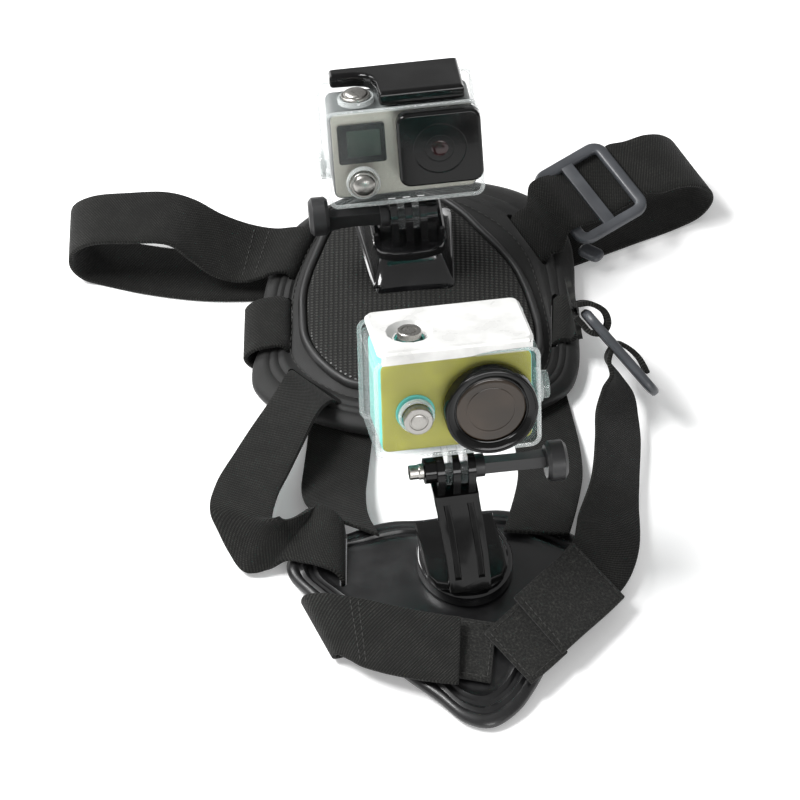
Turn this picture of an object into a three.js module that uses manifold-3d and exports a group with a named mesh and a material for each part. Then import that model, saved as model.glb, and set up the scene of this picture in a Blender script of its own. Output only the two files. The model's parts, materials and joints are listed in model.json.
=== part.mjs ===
// Harness that carries one camera on the back pad and one on the chest pad, lying with its straps spread out.
// Working frame in mm: X right, Y from the chest pad towards the back pad, Z up, floor at z = 0.
import * as THREE from "three";
import { mergeVertices } from "three/addons/utils/BufferGeometryUtils.js";
import Module from "manifold-3d";

const wasm = await Module();
wasm.setup();

// Driving dimensions, all in mm unless the name says degrees
const GAP = 0.35;
const WEB = 1.8;
const TAB_THICKNESS = 1.4;
const GIRTH_WIDTH = 29;
const NECK_WIDTH = 26;
const LOWER_LEFT_WIDTH = 26;
const HANGING_WIDTH = 27;
const BELLY_WIDTH = 31;
const PAD_THICKNESS = 5.4;
const PAD_CREST = 15.5;
const PAD_ARCH = 7.4;
const PAD_FALL = 3;
const PAD_CENTRE_X = 7;
const PAD_CENTRE_Y = 48;
const MESH_THICKNESS = 1.4;
const TRIM_WIDTH = 3.4;
const TRIM_HEIGHT = 2.6;
const SHIELD_THICKNESS = 3.4;
const SHIELD_CREST = 9.8;
const SHIELD_FALL = 3.4;
const SHIELD_NOSE_FALL = 1.45;
const SHIELD_CENTRE_X = 22;
const SHIELD_CENTRE_Y = -116;
const FINGER_THICKNESS = 2.9;
const FINGER_PITCH = 6;
const FINGER_RADIUS = 6.7;
const PRONG_THICKNESS = 2.4;
const BORE_RADIUS = 2.6;
const SHAFT_RADIUS = 2.2;
const PLATE_THICKNESS = 5.2;
const SCREW_REACH = 38.5;
const KNOB_RADIUS = 8;
const KNOB_OFFSET = 3.2;
const KNOB_WIDTH = 8;
const HOUSING_WALL = 1.7;
const HOUSING_AIR = 1.1;
const DOOR_THICKNESS = 2.6;
const BUTTON_TRAVEL = 1.5;
const COLLAR_WALL = 0.9;
const COLLAR_HEIGHT = 2;
const SLIDER_BAR = 3.4;
const SLIDER_THICKNESS = 2.6;

// Where each mount's pivot stands, and how the camera on it is turned
const BACK_PIVOT = { x: 3.2, y: 62.3, z: 46, yaw: 6.4, roll: 2.1, pitch: 16.6 };
const CHEST_PIVOT = { x: 20.8, y: -101.2, z: 64.4, yaw: 10.2, roll: -1.4, pitch: 15.7 };
const RAMP_TOP = -17.9;
const CHEST_BASE_TOP = 17;

// Housings, measured from the pivot: half width, front, back, bottom, top
const REAR = { half: 32, front: -4.6, back: 25.4, bottom: 7.3, top: 50.6, shift: 0, corner: 4 };
const CHEST = { half: 32.2, front: -2.4, back: 32.4, bottom: 7.3, top: 50.8, shift: 1.6, corner: 4.5 };

const rad = THREE.MathUtils.degToRad;
const v2 = (x, y) => new THREE.Vector2(x, y);
const v3 = (x, y, z) => new THREE.Vector3(x, y, z);

// Edge of the back pad, seen from above: x, y
const BACK_EDGE = [
  [-17, -26], [-34, -19], [-51, -9], [-59.5, 3], [-60, 14], [-57, 25], [-57, 38], [-56.5, 52],
  [-54, 68], [-50, 84], [-41, 97], [-25, 109], [-6, 117], [14, 120], [35, 120], [53, 115],
  [65, 104], [71, 89], [72.5, 74], [72.5, 58], [73, 42], [73.5, 28], [73, 14], [69, 1],
  [58, -10], [42, -20], [24, -27], [3, -29],
];

// Edge of the mesh panel inside the piping: x, y
const MESH_EDGE = [
  [-18, -3], [-24, 1.5], [-29.5, 8], [-34, 15.5], [-37, 24], [-38, 36], [-38, 48], [-36, 60],
  [-32.6, 72], [-29.2, 83], [-25, 93], [-17, 101], [-5, 105], [7, 106], [17, 102], [25, 94],
  [32, 84], [40, 73], [46, 63], [50, 52], [53, 40], [55, 28], [54.5, 15], [49, 4],
  [40, -3], [26, -5.5], [8, -6],
];

// Edge of the chest pad, seen from above: x, y
const CHEST_EDGE = [
  [-22, -81], [-14, -77.5], [-4, -74.5], [8, -74], [20, -71.5], [30, -69], [40, -68], [49, -70],
  [59, -75], [69, -81], [77, -87], [80, -95], [77, -107], [70, -122], [63, -137], [57, -150],
  [52, -161], [45, -172], [35, -179], [25, -177], [14, -167], [2, -156.5], [-12, -142],
  [-26, -126], [-37, -112], [-43.5, -102], [-44, -93], [-36, -86],
];

// Strap slots: x, y, heading of the slot in degrees, length, width
const BACK_SLOTS = [
  [-40, 75, -108, 33, 4.6],
  [-45.6, 33, -90, 31, 4.6],
  [-34.5, -3.5, -45, 30, 4.6],
  [53, 84, -63, 33, 4.6],
  [63.5, 36, -92, 31, 4.6],
];
const CHEST_SLOTS = [[-22.2, -96, 90, 30, 4.6]];

// Straps are cut across at stations: x, y, z of the middle, heading and tilt of the cut in degrees
const REAR_LEFT_STATIONS = [
  [-40, 75, 5.6, -108, 0],
  [-40.2, 75, 10, -108, 0],
  [-43.2, 75.2, 13, -108, 0],
  [-48.6, 75.2, 12.6, -107, 0],
  [-55.4, 75.2, 10.8, -104, -4],
  [-64.4, 75.6, 10.6, -101, -13],
  [-76.1, 76.4, 14.8, -97, -19],
  [-86.1, 79, 20.8, -93, -16],
  [-96, 81.5, 24.8, -88, -5],
  [-113.1, 82.1, 24.6, -89, -2],
  [-128.3, 82.6, 22.6, -89, 0],
  [-135.9, 83.6, 16.5, -89, 0],
  [-136.6, 83.6, 8.5, -89, 0],
  [-132, 83, 2.8, -89, 0],
  [-124.7, 81.6, 1.05, -88, 0],
  [-106, 76, 1.05, -88, 0],
  [-82, 72, 1.05, -89, 0],
  [-58, 72, 1.05, -92, 0],
  [-38, 72.6, 1.4, -98, 0],
];
const MID_LEFT_STATIONS = [
  [-45.6, 33, 5.2, -90, 0],
  [-45.7, 33, 9.6, -90, 0],
  [-48.4, 33, 12.4, -90, 0],
  [-53.6, 32.9, 12, -90, 0],
  [-59.8, 32.6, 10, -90, 0],
  [-63.2, 32.2, 6, -90, 0],
  [-61, 31.6, 2.1, -89, 0],
  [-54, 31, 1.05, -88, 0],
  [-42, 30, 1.05, -86, 0],
];
const LOWER_LEFT_STATIONS = [
  [-34.5, -3.5, 6, -45, 0],
  [-34.7, -3.8, 10.6, -45, 0],
  [-36.6, -6.4, 13.4, -46, 6],
  [-39.6, -13, 15.2, -46, 14],
  [-43.6, -23, 16.2, -43, 17],
  [-49, -36, 15.8, -37, 13],
  [-55, -51, 15.4, -30, 9],
  [-60.6, -66, 15.6, -20, 6],
  [-62.4, -80.5, 16.2, -17, 6],
  [-60, -84.1, 14.8, -11, 25],
  [-56.9, -87.3, 11.8, 11, 39],
  [-53.5, -90.5, 9.6, 41, 36],
  [-49.4, -90.3, 9.4, 48, 34],
  [-44.7, -88.3, 10, 53, 31],
  [-39.3, -85.3, 11.2, 62, 17],
  [-34, -87.9, 13.2, 70, 13],
  [-28.1, -91.7, 14.4, 79, 9],
  [-24.1, -94.2, 13, 86, 5],
  [-22.3, -96, 9.8, 90, 3],
  [-22.2, -96, 4.8, 90, 0],
];
const NECK_LEFT_STATIONS = [
  [-22, 6, 3, 0, 0],
  [-23.4, -12, 3, 0, 0],
  [-24.4, -28, 3.2, -1, 0],
  [-25.6, -44, 4.2, -4, 0],
  [-26.4, -59, 6.8, -8, 0],
  [-24.6, -72, 9.8, -16, 0],
  [-19.6, -81, 11.2, -26, 0],
  [-12.6, -88.4, 11.4, -38, 0],
];
const NECK_RIGHT_STATIONS = [
  [54, 6, 1.15, 4, 0],
  [57, -12, 1.15, 4, 0],
  [59.4, -30, 2.6, 4, 0],
  [60, -48, 5.6, 3, 0],
  [58.4, -62, 8.6, 1, 0],
  [56.2, -74, 10.4, -2, 0],
  [53.6, -85, 10.9, -4, 0],
];
const BAND_LEFT_STATIONS = [
  [-12, -119, 1.05, -66, 0],
  [-19, -122.6, 1.05, -66, 0],
  [-26.4, -126.6, 1.15, -66, 0],
  [-31.6, -129.6, 3.4, -66, -2],
  [-30.6, -130.4, 7.2, -66, -6],
  [-25.2, -133.2, 9.6, -71, -12],
  [-17, -137.4, 11, -81, -14],
  [-6, -141.8, 12, -88, -13],
  [4, -145.2, 12.6, -90, -11],
  [14.6, -148, 13.1, -91, -9],
  [23, -149.4, 13.3, -92, -8],
];
const BAND_RIGHT_STATIONS = [
  [77.4, -106.6, 12.8, -44, -20],
  [71.6, -114.6, 13.2, -47, -18],
  [62.4, -125.8, 13.6, -49, -16],
  [53.3, -136.7, 13.6, -50, -15],
];
const TAB_LEFT_STATIONS = [
  [14, -142.8, 9.9, -92, -4],
  [22, -144.6, 10, -93, -4],
  [29.5, -146.2, 9.9, -94, -4],
  [36, -147.4, 9.7, -95, -4],
];
const TAB_RIGHT_STATIONS = [
  [55.6, -134.2, 10.5, -50, -12],
  [48.6, -142.6, 10.5, -50, -11],
  [41.4, -150.8, 10.4, -51, -9],
];

// Strap sliders: middle, heading and tilt of the bars in degrees, direction of the strap's run, sizes
const REAR_SLIDER = {
  x: 79.6, y: 99.8, z: 22.4, heading: -57, tilt: -11, run: [26.8, 22.4, 8], length: 41, width: 35, narrow: 0.45,
};
const SIDE_SLIDER = {
  x: 88.7, y: 2.9, z: 24.4, heading: 90, tilt: -43, run: [0.657, -0.532, -0.532], length: 36, width: 44, narrow: 0.3,
};

// Stations given in a slider's own directions: distance along the run and rise off its face
const REAR_RIGHT_START = [
  [53, 84, 5.4, -63, 0],
  [53.2, 84.1, 9.8, -63, 0],
  [56, 85.6, 13, -62, 0],
  [60.4, 87.2, 14.4, -60, -4],
];
const REAR_RIGHT_END = [
  [101.6, 112.4, 25.6, -57, -15],
  [110, 115.4, 26.2, -57, -16],
  [117.4, 118.4, 23.6, -57, -15],
  [122.8, 121, 17.4, -58, -11],
  [123.8, 121.8, 9.4, -59, -5],
  [119.6, 119.4, 3, -61, 0],
  [110, 114.4, 1.05, -63, 0],
  [92, 105, 1.05, -64, 0],
  [72, 94.4, 1.05, -64, 0],
  [55, 85.6, 1.05, -63, 0],
];
const MID_RIGHT_START = [
  [63.5, 36, 4.8, -92, 0],
  [63.6, 36, 9, -92, 0],
  [66.4, 36, 11.6, -92, 0],
  [70.4, 35, 11.8, -90, 4],
  [72.4, 32, 16.4, -89, 18],
  [71, 26, 24.6, -88, 33],
];
const MID_RIGHT_LOOP = [
  [-25.9, 0.2], [-23, -3.7], [-16.6, -6.1], [-12, -4], [-10.8, 0.2], [-13.8, 3.6], [-18.4, 3.9], [-22.6, 4],
];
const HANGING_LOOP = [
  [13.4, -2.9], [6.8, -4.3], [0.9, -3.7], [-3, -1.8], [-3.1, 1.8], [-0.8, 5.6],
];
const HANGING_END = [
  [86.9, -4.2, 18.2, 78, -44],
  [87.9, -11, 16, 50, -43],
  [87.2, -22, 14, 37, -37],
  [87.2, -35.1, 12.8, 36, -32],
  [85.6, -54.9, 11.4, 34, -29],
  [83, -71, 10.2, 20, -23],
  [81.6, -86.9, 9.6, -12, -22],
  [78.4, -99, 9.6, -34, -20],
  [71.6, -110, 10, -44, -18],
  [66, -117, 10.7, -46, -16],
];

// Merge equal corners, leaving positions only
function welded(geometry) {
  const bare = geometry.index ? geometry.toNonIndexed() : geometry.clone();
  for (const name of Object.keys(bare.attributes)) {
    if (name !== "position") bare.deleteAttribute(name);
  }
  return mergeVertices(bare, 1e-4);
}

function solid(geometry) {
  const merged = welded(geometry);
  const vertProperties = new Float32Array(merged.attributes.position.array);
  const triVerts = new Uint32Array(merged.index.array);
  return new wasm.Manifold(new wasm.Mesh({ numProp: 3, vertProperties, triVerts }));
}

function geometryOf(body) {
  const mesh = body.getMesh();
  const geometry = new THREE.BufferGeometry();
  geometry.setAttribute("position", new THREE.BufferAttribute(new Float32Array(mesh.vertProperties), 3));
  geometry.setIndex(new THREE.BufferAttribute(new Uint32Array(mesh.triVerts), 1));
  return geometry;
}

// Skin over rings of equal length, closed by a fan at each end or joined end to end
function loft(rings, joined = false) {
  const n = rings[0].length;
  const positions = rings.flat().flatMap((p) => [p.x, p.y, p.z]);
  const index = [];
  const spans = joined ? rings.length : rings.length - 1;
  for (let i = 0; i < spans; i += 1) {
    const here = i * n;
    const next = ((i + 1) % rings.length) * n;
    for (let j = 0; j < n; j += 1) {
      const k = (j + 1) % n;
      index.push(here + j, here + k, next + k, here + j, next + k, next + j);
    }
  }
  if (!joined) {
    for (const [first, flip] of [[0, true], [(rings.length - 1) * n, false]]) {
      const middle = positions.length / 3;
      const sum = v3(0, 0, 0);
      for (let j = 0; j < n; j += 1) {
        sum.add(rings[first / n][j]);
      }
      if (n > 4) {
        positions.push(sum.x / n, sum.y / n, sum.z / n);
      }
      for (let j = 0; j < n; j += 1) {
        const k = (j + 1) % n;
        if (n > 4) {
          index.push(middle, first + (flip ? k : j), first + (flip ? j : k));
        } else if (j === 1 || j === 2) {
          index.push(first, first + (flip ? k : j), first + (flip ? j : k));
        }
      }
    }
  }
  const geometry = new THREE.BufferGeometry();
  geometry.setAttribute("position", new THREE.Float32BufferAttribute(positions, 3));
  geometry.setIndex(volumeOf(positions, index) < 0 ? index.reverse() : index);
  return geometry;
}

function volumeOf(positions, index) {
  let sum = 0;
  const at = (i) => v3(positions[3 * i], positions[3 * i + 1], positions[3 * i + 2]);
  for (let i = 0; i < index.length; i += 3) {
    sum += at(index[i]).dot(at(index[i + 1]).cross(at(index[i + 2])));
  }
  return sum;
}

// Unit vector across a strap from its heading and tilt
function across(heading, tilt) {
  const h = rad(heading);
  const t = rad(tilt);
  return v3(Math.cos(h) * Math.cos(t), Math.sin(h) * Math.cos(t), Math.sin(t));
}

// Strap of even width and thickness through its stations
function ribbon(stations, width, steps = 2, thickness = WEB) {
  const line = new THREE.CatmullRomCurve3(stations.map(([x, y, z]) => v3(x, y, z)));
  const cuts = new THREE.CatmullRomCurve3(stations.map(([, , , h, t]) => across(h, t)), false, "catmullrom");
  const count = (stations.length - 1) * steps;
  const rings = [];
  for (let i = 0; i <= count; i += 1) {
    const t = i / count;
    const middle = line.getPoint(t);
    const side = cuts.getPoint(t).normalize();
    const along = line.getTangent(t);
    const up = along.clone().cross(side).normalize();
    const corner = (s, u) => middle.clone()
      .addScaledVector(side, s * width / 2)
      .addScaledVector(up, u * thickness / 2);
    rings.push([corner(-1, -1), corner(1, -1), corner(1, 1), corner(-1, 1)]);
  }
  return loft(rings);
}

// Closed smooth outline through points, evenly spaced
function outlineOf(points, count) {
  const curve = new THREE.CatmullRomCurve3(points.map(([x, y]) => v3(x, y, 0)), true);
  return curve.getSpacedPoints(count).slice(0, count);
}

function offsetOutline(outline, distance) {
  const n = outline.length;
  const turn = outline.reduce((sum, p, i) => {
    const q = outline[(i + 1) % n];
    return sum + p.x * q.y - q.x * p.y;
  }, 0) > 0 ? 1 : -1;
  return outline.map((p, i) => {
    const along = outline[(i + 1) % n].clone().sub(outline[(i + n - 1) % n]).normalize();
    return v3(p.x + turn * along.y * distance, p.y - turn * along.x * distance, 0);
  });
}

function shrinkOutline(outline, centre, scale) {
  return outline.map((p) => v3(centre[0] + (p.x - centre[0]) * scale, centre[1] + (p.y - centre[1]) * scale, 0));
}

// Moulded sheet: each level is a plan outline and a height above the given surface
function sheetOf(levels, surface) {
  const rings = levels.map(([outline, rise]) => outline.map((p) => v3(p.x, p.y, surface(p.x, p.y) + rise)));
  return loft(rings);
}

function backSurface(x, y) {
  const u = (x - PAD_CENTRE_X) / 67;
  const v = (y - PAD_CENTRE_Y) / 72;
  return PAD_CREST - PAD_ARCH * u * u - PAD_FALL * v * v;
}

function chestSurface(x, y) {
  const u = (x - SHIELD_CENTRE_X) / 62;
  const v = (y - SHIELD_CENTRE_Y) / 62;
  return SHIELD_CREST - SHIELD_FALL * (u * u + (y < SHIELD_CENTRE_Y ? SHIELD_NOSE_FALL : 1) * v * v);
}

function moulded(edge, centre, thickness, surface, grooves) {
  const inset = (d) => offsetOutline(edge, -d);
  const scaled = (s) => shrinkOutline(edge, centre, s);
  const levels = [
    [scaled(0.3), 0],
    [scaled(0.62), 0],
    ...grooves.map(([d, rise]) => [inset(d), rise]),
    [inset(2.4), 0],
    [edge, -1.6],
    [edge, -thickness + 0.8],
    [inset(1.2), -thickness],
    [scaled(0.55), -thickness],
  ];
  return sheetOf(levels, surface);
}

// Rounded slot cutter standing through a pad
function slotCutter([x, y, heading, length, width]) {
  const half = length / 2 - width / 2;
  const shape = new THREE.Shape();
  shape.absarc(half, 0, width / 2, -Math.PI / 2, Math.PI / 2);
  shape.absarc(-half, 0, width / 2, Math.PI / 2, Math.PI * 1.5);
  const geometry = new THREE.ExtrudeGeometry(shape, { depth: 40, bevelEnabled: false, curveSegments: 4 });
  geometry.rotateZ(rad(heading));
  geometry.translate(x, y, -10);
  return solid(geometry);
}

function roundedRect(width, height, radius) {
  const w = width / 2;
  const h = height / 2;
  const r = radius;
  const shape = new THREE.Shape();
  shape.absarc(w - r, h - r, r, 0, Math.PI / 2);
  shape.absarc(-w + r, h - r, r, Math.PI / 2, Math.PI);
  shape.absarc(-w + r, -h + r, r, Math.PI, Math.PI * 1.5);
  shape.absarc(w - r, -h + r, r, Math.PI * 1.5, Math.PI * 2);
  return shape;
}

// Block between two heights with rounded corners in plan and a small rounded edge
function block(shape, z0, z1, bevel, curveSegments = 2, bevelSegments = 1) {
  const geometry = new THREE.ExtrudeGeometry(shape, {
    depth: z1 - z0 - 2 * bevel,
    bevelEnabled: bevel > 0,
    bevelThickness: bevel,
    bevelSize: bevel,
    bevelOffset: -bevel,
    bevelSegments,
    curveSegments,
  });
  geometry.translate(0, 0, z0 + bevel);
  return geometry;
}

// The same block standing with its front face towards -Y
function frontBlock(shape, y0, y1, bevel, curveSegments = 2, bevelSegments = 1) {
  const geometry = block(shape, -y1, -y0, bevel, curveSegments, bevelSegments);
  geometry.rotateX(Math.PI / 2);
  return geometry;
}

function lathe(profile, segments = 20) {
  return new THREE.LatheGeometry(profile.map(([r, y]) => v2(r, y)), segments);
}

function barrel(radius, x0, x1, segments = 18) {
  const geometry = new THREE.CylinderGeometry(radius, radius, x1 - x0, segments);
  geometry.rotateZ(Math.PI / 2);
  geometry.translate((x0 + x1) / 2, 0, 0);
  return geometry;
}

// Mount ear about the pivot, reaching down or up to a height
function ear(x, thickness, radius, reach) {
  const shape = new THREE.Shape();
  const side = Math.sign(reach);
  shape.moveTo(radius, reach);
  shape.lineTo(radius, 0);
  shape.absarc(0, 0, radius, 0, side < 0 ? Math.PI : -Math.PI, side > 0);
  shape.lineTo(-radius, reach);
  const geometry = new THREE.ExtrudeGeometry(shape, { depth: thickness, bevelEnabled: false, curveSegments: 4 });
  geometry.rotateY(Math.PI / 2);
  geometry.rotateX(Math.PI / 2);
  geometry.translate(x - thickness / 2, 0, 0);
  return geometry;
}

function joinAll(bodies) {
  return bodies.reduce((sum, body) => sum.add(body));
}

const COLOURS = {
  webbing: new THREE.MeshStandardMaterial({ color: 0x2a2a29, roughness: 0.95, metalness: 0 }),
  pad: new THREE.MeshStandardMaterial({ color: 0x2c2c2b, roughness: 0.7, metalness: 0 }),
  mesh: new THREE.MeshStandardMaterial({ color: 0x33332f, roughness: 0.85, metalness: 0 }),
  gloss: new THREE.MeshStandardMaterial({ color: 0x151517, roughness: 0.2, metalness: 0 }),
  satin: new THREE.MeshStandardMaterial({ color: 0x4a4c50, roughness: 0.45, metalness: 0 }),
  black: new THREE.MeshStandardMaterial({ color: 0x1d1d1e, roughness: 0.5, metalness: 0 }),
  clear: new THREE.MeshStandardMaterial({ color: 0xe8ecec, roughness: 0.1, transparent: true, opacity: 0.4 }),
  silver: new THREE.MeshStandardMaterial({ color: 0xa8a79b, roughness: 0.4, metalness: 0.6 }),
  steel: new THREE.MeshStandardMaterial({ color: 0xb9b9b6, roughness: 0.3, metalness: 0.9 }),
  screen: new THREE.MeshStandardMaterial({ color: 0x3c4a40, roughness: 0.2, metalness: 0 }),
  white: new THREE.MeshStandardMaterial({ color: 0xf2f2f0, roughness: 0.4, metalness: 0 }),
  olive: new THREE.MeshStandardMaterial({ color: 0xa5a346, roughness: 0.5, metalness: 0 }),
  glass: new THREE.MeshStandardMaterial({ color: 0x4a3f35, roughness: 0.1, metalness: 0 }),
};

const group = new THREE.Group();
const layout = new THREE.Group();
group.add(layout);

function put(parent, name, geometry, material) {
  const mesh = new THREE.Mesh(geometry, COLOURS[material]);
  mesh.name = name;
  parent.add(mesh);
  return mesh;
}

// Back pad, mesh panel and piping
const backEdge = outlineOf(BACK_EDGE, 44);
const meshEdge = outlineOf(MESH_EDGE, 34);
const padCentre = [PAD_CENTRE_X, PAD_CENTRE_Y];
const backPad = BACK_SLOTS.reduce(
  (body, slot) => body.subtract(slotCutter(slot)),
  solid(moulded(backEdge, padCentre, PAD_THICKNESS, backSurface, [])),
);
put(layout, "back_pad", geometryOf(backPad), "pad");

const meshFoot = 0.7;
const meshTop = meshFoot + MESH_THICKNESS;
const meshLevels = (foot, top) => [
  [shrinkOutline(meshEdge, padCentre, 0.3), top],
  [shrinkOutline(meshEdge, padCentre, 0.65), top],
  [offsetOutline(meshEdge, -0.8), top],
  [meshEdge, top - 0.5],
  [meshEdge, foot],
  [shrinkOutline(meshEdge, padCentre, 0.65), foot],
  [shrinkOutline(meshEdge, padCentre, 0.3), foot],
];
put(layout, "back_mesh", sheetOf(meshLevels(meshFoot, meshTop), backSurface), "mesh");

const trimRing = (d, rise) => offsetOutline(meshEdge, d).map((p) => v3(p.x, p.y, backSurface(p.x, p.y) + rise));
const trimSections = [
  trimRing(GAP, meshFoot),
  trimRing(GAP + TRIM_WIDTH, meshFoot),
  trimRing(GAP + TRIM_WIDTH * 0.93, meshFoot + TRIM_HEIGHT * 0.6),
  trimRing(GAP + TRIM_WIDTH * 0.5, meshFoot + TRIM_HEIGHT),
  trimRing(GAP + TRIM_WIDTH * 0.07, meshFoot + TRIM_HEIGHT * 0.6),
];
put(layout, "back_trim", loft(trimSections, true), "pad");

// Mount groups at the two pivots
function pivotGroup(pivot) {
  const turned = new THREE.Group();
  turned.position.set(pivot.x, pivot.y, pivot.z);
  turned.rotation.set(0, -rad(pivot.roll), rad(pivot.yaw), "ZYX");
  layout.add(turned);
  const camera = new THREE.Group();
  camera.rotation.x = -rad(pivot.pitch);
  turned.add(camera);
  turned.updateMatrix();
  return [turned, camera];
}
const [backMount, rearCamera] = pivotGroup(BACK_PIVOT);
const [chestMount, chestCamera] = pivotGroup(CHEST_PIVOT);

// Ramp: sections that narrow upwards along a hollow curve, its foot fitted to the mesh panel
const RAMP = { halfX: 12.6, flareX: 4, backX: 1.25, front: -4.4, flareFront: 12, back: 20, flareBack: 13, height: 11.6 };
const rampRings = [];
for (const t of [-0.4, 0, 0.25, 0.5, 0.75, 1]) {
  const flare = (1 - Math.max(t, 0)) ** 2;
  const halfX = RAMP.halfX + RAMP.flareX * flare;
  const front = RAMP.front - RAMP.flareFront * flare;
  const back = RAMP.back + RAMP.flareBack * flare;
  const z = RAMP_TOP - RAMP.height * (1 - t);
  const outline = roundedRect(2 * halfX, back - front, 3.4).getPoints(2).slice(0, -1);
  rampRings.push(outline.map((p) => {
    const along = p.y / (back - front) + 0.5;
    return v3(p.x * (1 + (RAMP.backX - 1) * along), p.y + (front + back) / 2, z);
  }));
}
const rampCutter = solid(sheetOf(meshLevels(-30, meshTop + GAP), backSurface));
const ramp = solid(loft(rampRings).applyMatrix4(backMount.matrix)).subtract(rampCutter);
put(layout, "back_ramp", geometryOf(ramp), "gloss");

// Quick-release plate with a bowed front
function plateShape(half, front, back) {
  const shape = new THREE.Shape();
  shape.moveTo(half, back);
  shape.lineTo(-half, back);
  shape.lineTo(-half, front + 7);
  shape.quadraticCurveTo(-half + 1, front + 1.5, -half * 0.45, front + 0.4);
  shape.quadraticCurveTo(0, front - 0.4, half * 0.45, front + 0.4);
  shape.quadraticCurveTo(half - 1, front + 1.5, half, front + 7);
  return shape;
}

function fingers(reach) {
  return [-1, 0, 1].map((k) => solid(ear(k * FINGER_PITCH, FINGER_THICKNESS, FINGER_RADIUS, reach)));
}

const STACK = FINGER_PITCH + FINGER_THICKNESS / 2;
const BOSS = 4.4;
const bore = solid(barrel(BORE_RADIUS, -40, 40, 12));
const boss = (side) => solid(barrel(5, side < 0 ? -STACK - BOSS : STACK - 1, side < 0 ? -STACK + 1 : STACK + BOSS, 14));
const plateFoot = RAMP_TOP + GAP;
const plateHead = plateFoot + PLATE_THICKNESS;
const backPlate = solid(block(plateShape(15.4, -10.8, 19), plateFoot, plateHead, 1.4, 2, 2));
const backRail = (side) => {
  const geometry = block(roundedRect(3.2, 19, 1.4), plateHead - 1.5, plateHead + 4.4, 0.8, 1);
  geometry.translate(side * 13.2, 7, 0);
  return solid(geometry);
};
const backBuckle = joinAll([backPlate, backRail(-1), backRail(1), ...fingers(plateHead - 1), boss(1)])
  .subtract(bore);
put(backMount, "back_buckle", geometryOf(backBuckle), "gloss");

// Thumbscrew along +X: shaft, hub, arched arm and an eccentric knob
function thumbscrew(tail, head) {
  const shaft = solid(barrel(SHAFT_RADIUS, -STACK - tail, STACK + 3, 12));
  const hub = solid(barrel(4.6, STACK + GAP, STACK + 4, 14));
  const arm = new THREE.Shape();
  arm.moveTo(STACK + 2, -3.6);
  arm.quadraticCurveTo((STACK + head) / 2, -1.2, head - KNOB_WIDTH + 2.5, -3.8);
  arm.lineTo(head - KNOB_WIDTH + 2.5, 4);
  arm.lineTo(STACK + 2, 3.6);
  const armBody = new THREE.ExtrudeGeometry(arm, { depth: 4.6, bevelEnabled: false, curveSegments: 4 });
  armBody.rotateX(Math.PI / 2);
  armBody.translate(0, 2.3, 0);
  const start = head - KNOB_WIDTH + 2;
  const knob = lathe([
    [0, start], [KNOB_RADIUS - 1.4, start], [KNOB_RADIUS, start + 1.4],
    [KNOB_RADIUS, start + KNOB_WIDTH - 1.4], [KNOB_RADIUS - 1.6, start + KNOB_WIDTH], [0, start + KNOB_WIDTH],
  ], 18);
  knob.rotateZ(-Math.PI / 2);
  knob.translate(0, 0, KNOB_OFFSET);
  return joinAll([shaft, hub, solid(armBody), solid(knob)]);
}

const backScrew = put(backMount, "back_screw", geometryOf(thumbscrew(BOSS - 0.6, SCREW_REACH)), "black");
backScrew.rotation.z = Math.PI;
const chestScrew = put(chestMount, "chest_screw", geometryOf(thumbscrew(BOSS + 4, SCREW_REACH + 2.5)), "black");
chestScrew.rotation.x = rad(70);

// Capped nut on the far end of the chest screw
const chestNut = lathe([
  [SHAFT_RADIUS + GAP, 0], [3.2, 0], [3.2, 1.6], [2.9, 2], [2.9, 5.4], [SHAFT_RADIUS + GAP, 5.4],
  [SHAFT_RADIUS + GAP, 0],
], 12);
chestNut.rotateZ(Math.PI / 2);
chestNut.translate(-STACK - BOSS - GAP, 0, 0);
put(chestMount, "chest_nut", chestNut, "steel");

// Ring round a button, standing on the housing
function collar(radius) {
  const inner = radius + 0.4;
  const outer = inner + COLLAR_WALL;
  return lathe([
    [inner, -0.6], [outer, -0.6], [outer, COLLAR_HEIGHT], [inner, COLLAR_HEIGHT], [inner, -0.6],
  ], 14);;
}

function turned(geometry, at, turn) {
  if (turn === "z") {
    geometry.rotateX(Math.PI / 2);
  } else if (turn === "-y") {
    geometry.rotateX(Math.PI);
  } else if (turn === "-x") {
    geometry.rotateZ(Math.PI / 2);
  } else if (turn === "x") {
    geometry.rotateZ(-Math.PI / 2);
  }
  geometry.translate(...at);
  return geometry;
}

// Clear housing with two prongs, open at the back where its door closes it
function housing(h, buttons, extras) {
  const width = 2 * h.half;
  const height = h.top - h.bottom;
  const middle = (h.top + h.bottom) / 2;
  const outer = frontBlock(roundedRect(width, height, h.corner), h.front, h.back - DOOR_THICKNESS - GAP, 1.2);
  outer.translate(h.shift, 0, middle);
  const inner = frontBlock(
    roundedRect(width - 2 * HOUSING_WALL, height - 2 * HOUSING_WALL, h.corner - 1.2),
    h.front + HOUSING_WALL, h.back + 5, 0,
  );
  inner.translate(h.shift, 0, middle);
  const rings = buttons.filter(([, , radius]) => radius > 0);
  const collars = rings.map(([at, turn, radius]) => solid(turned(collar(radius), at, turn)));
  let body = joinAll([solid(outer), ...collars]).subtract(solid(inner));
  for (const x of [-FINGER_PITCH / 2, FINGER_PITCH / 2]) {
    const lug = solid(ear(x, PRONG_THICKNESS, FINGER_RADIUS - 0.3, h.bottom + 0.9));
    body = body.add(lug.subtract(bore));
  }
  body = joinAll([body, ...extras]);
  return buttons.reduce((rest, [at, turn]) => {
    const hole = new THREE.CylinderGeometry(2.05, 2.05, 9, 10);
    return rest.subtract(solid(turned(hole, at, turn)));
  }, body);
}

function door(h) {
  const shape = roundedRect(2 * h.half + 0.8, h.top - h.bottom, h.corner);
  const geometry = frontBlock(shape, h.back - DOOR_THICKNESS, h.back, 0.8);
  geometry.translate(h.shift, 0, (h.top + h.bottom) / 2);
  return geometry;
}

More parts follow.
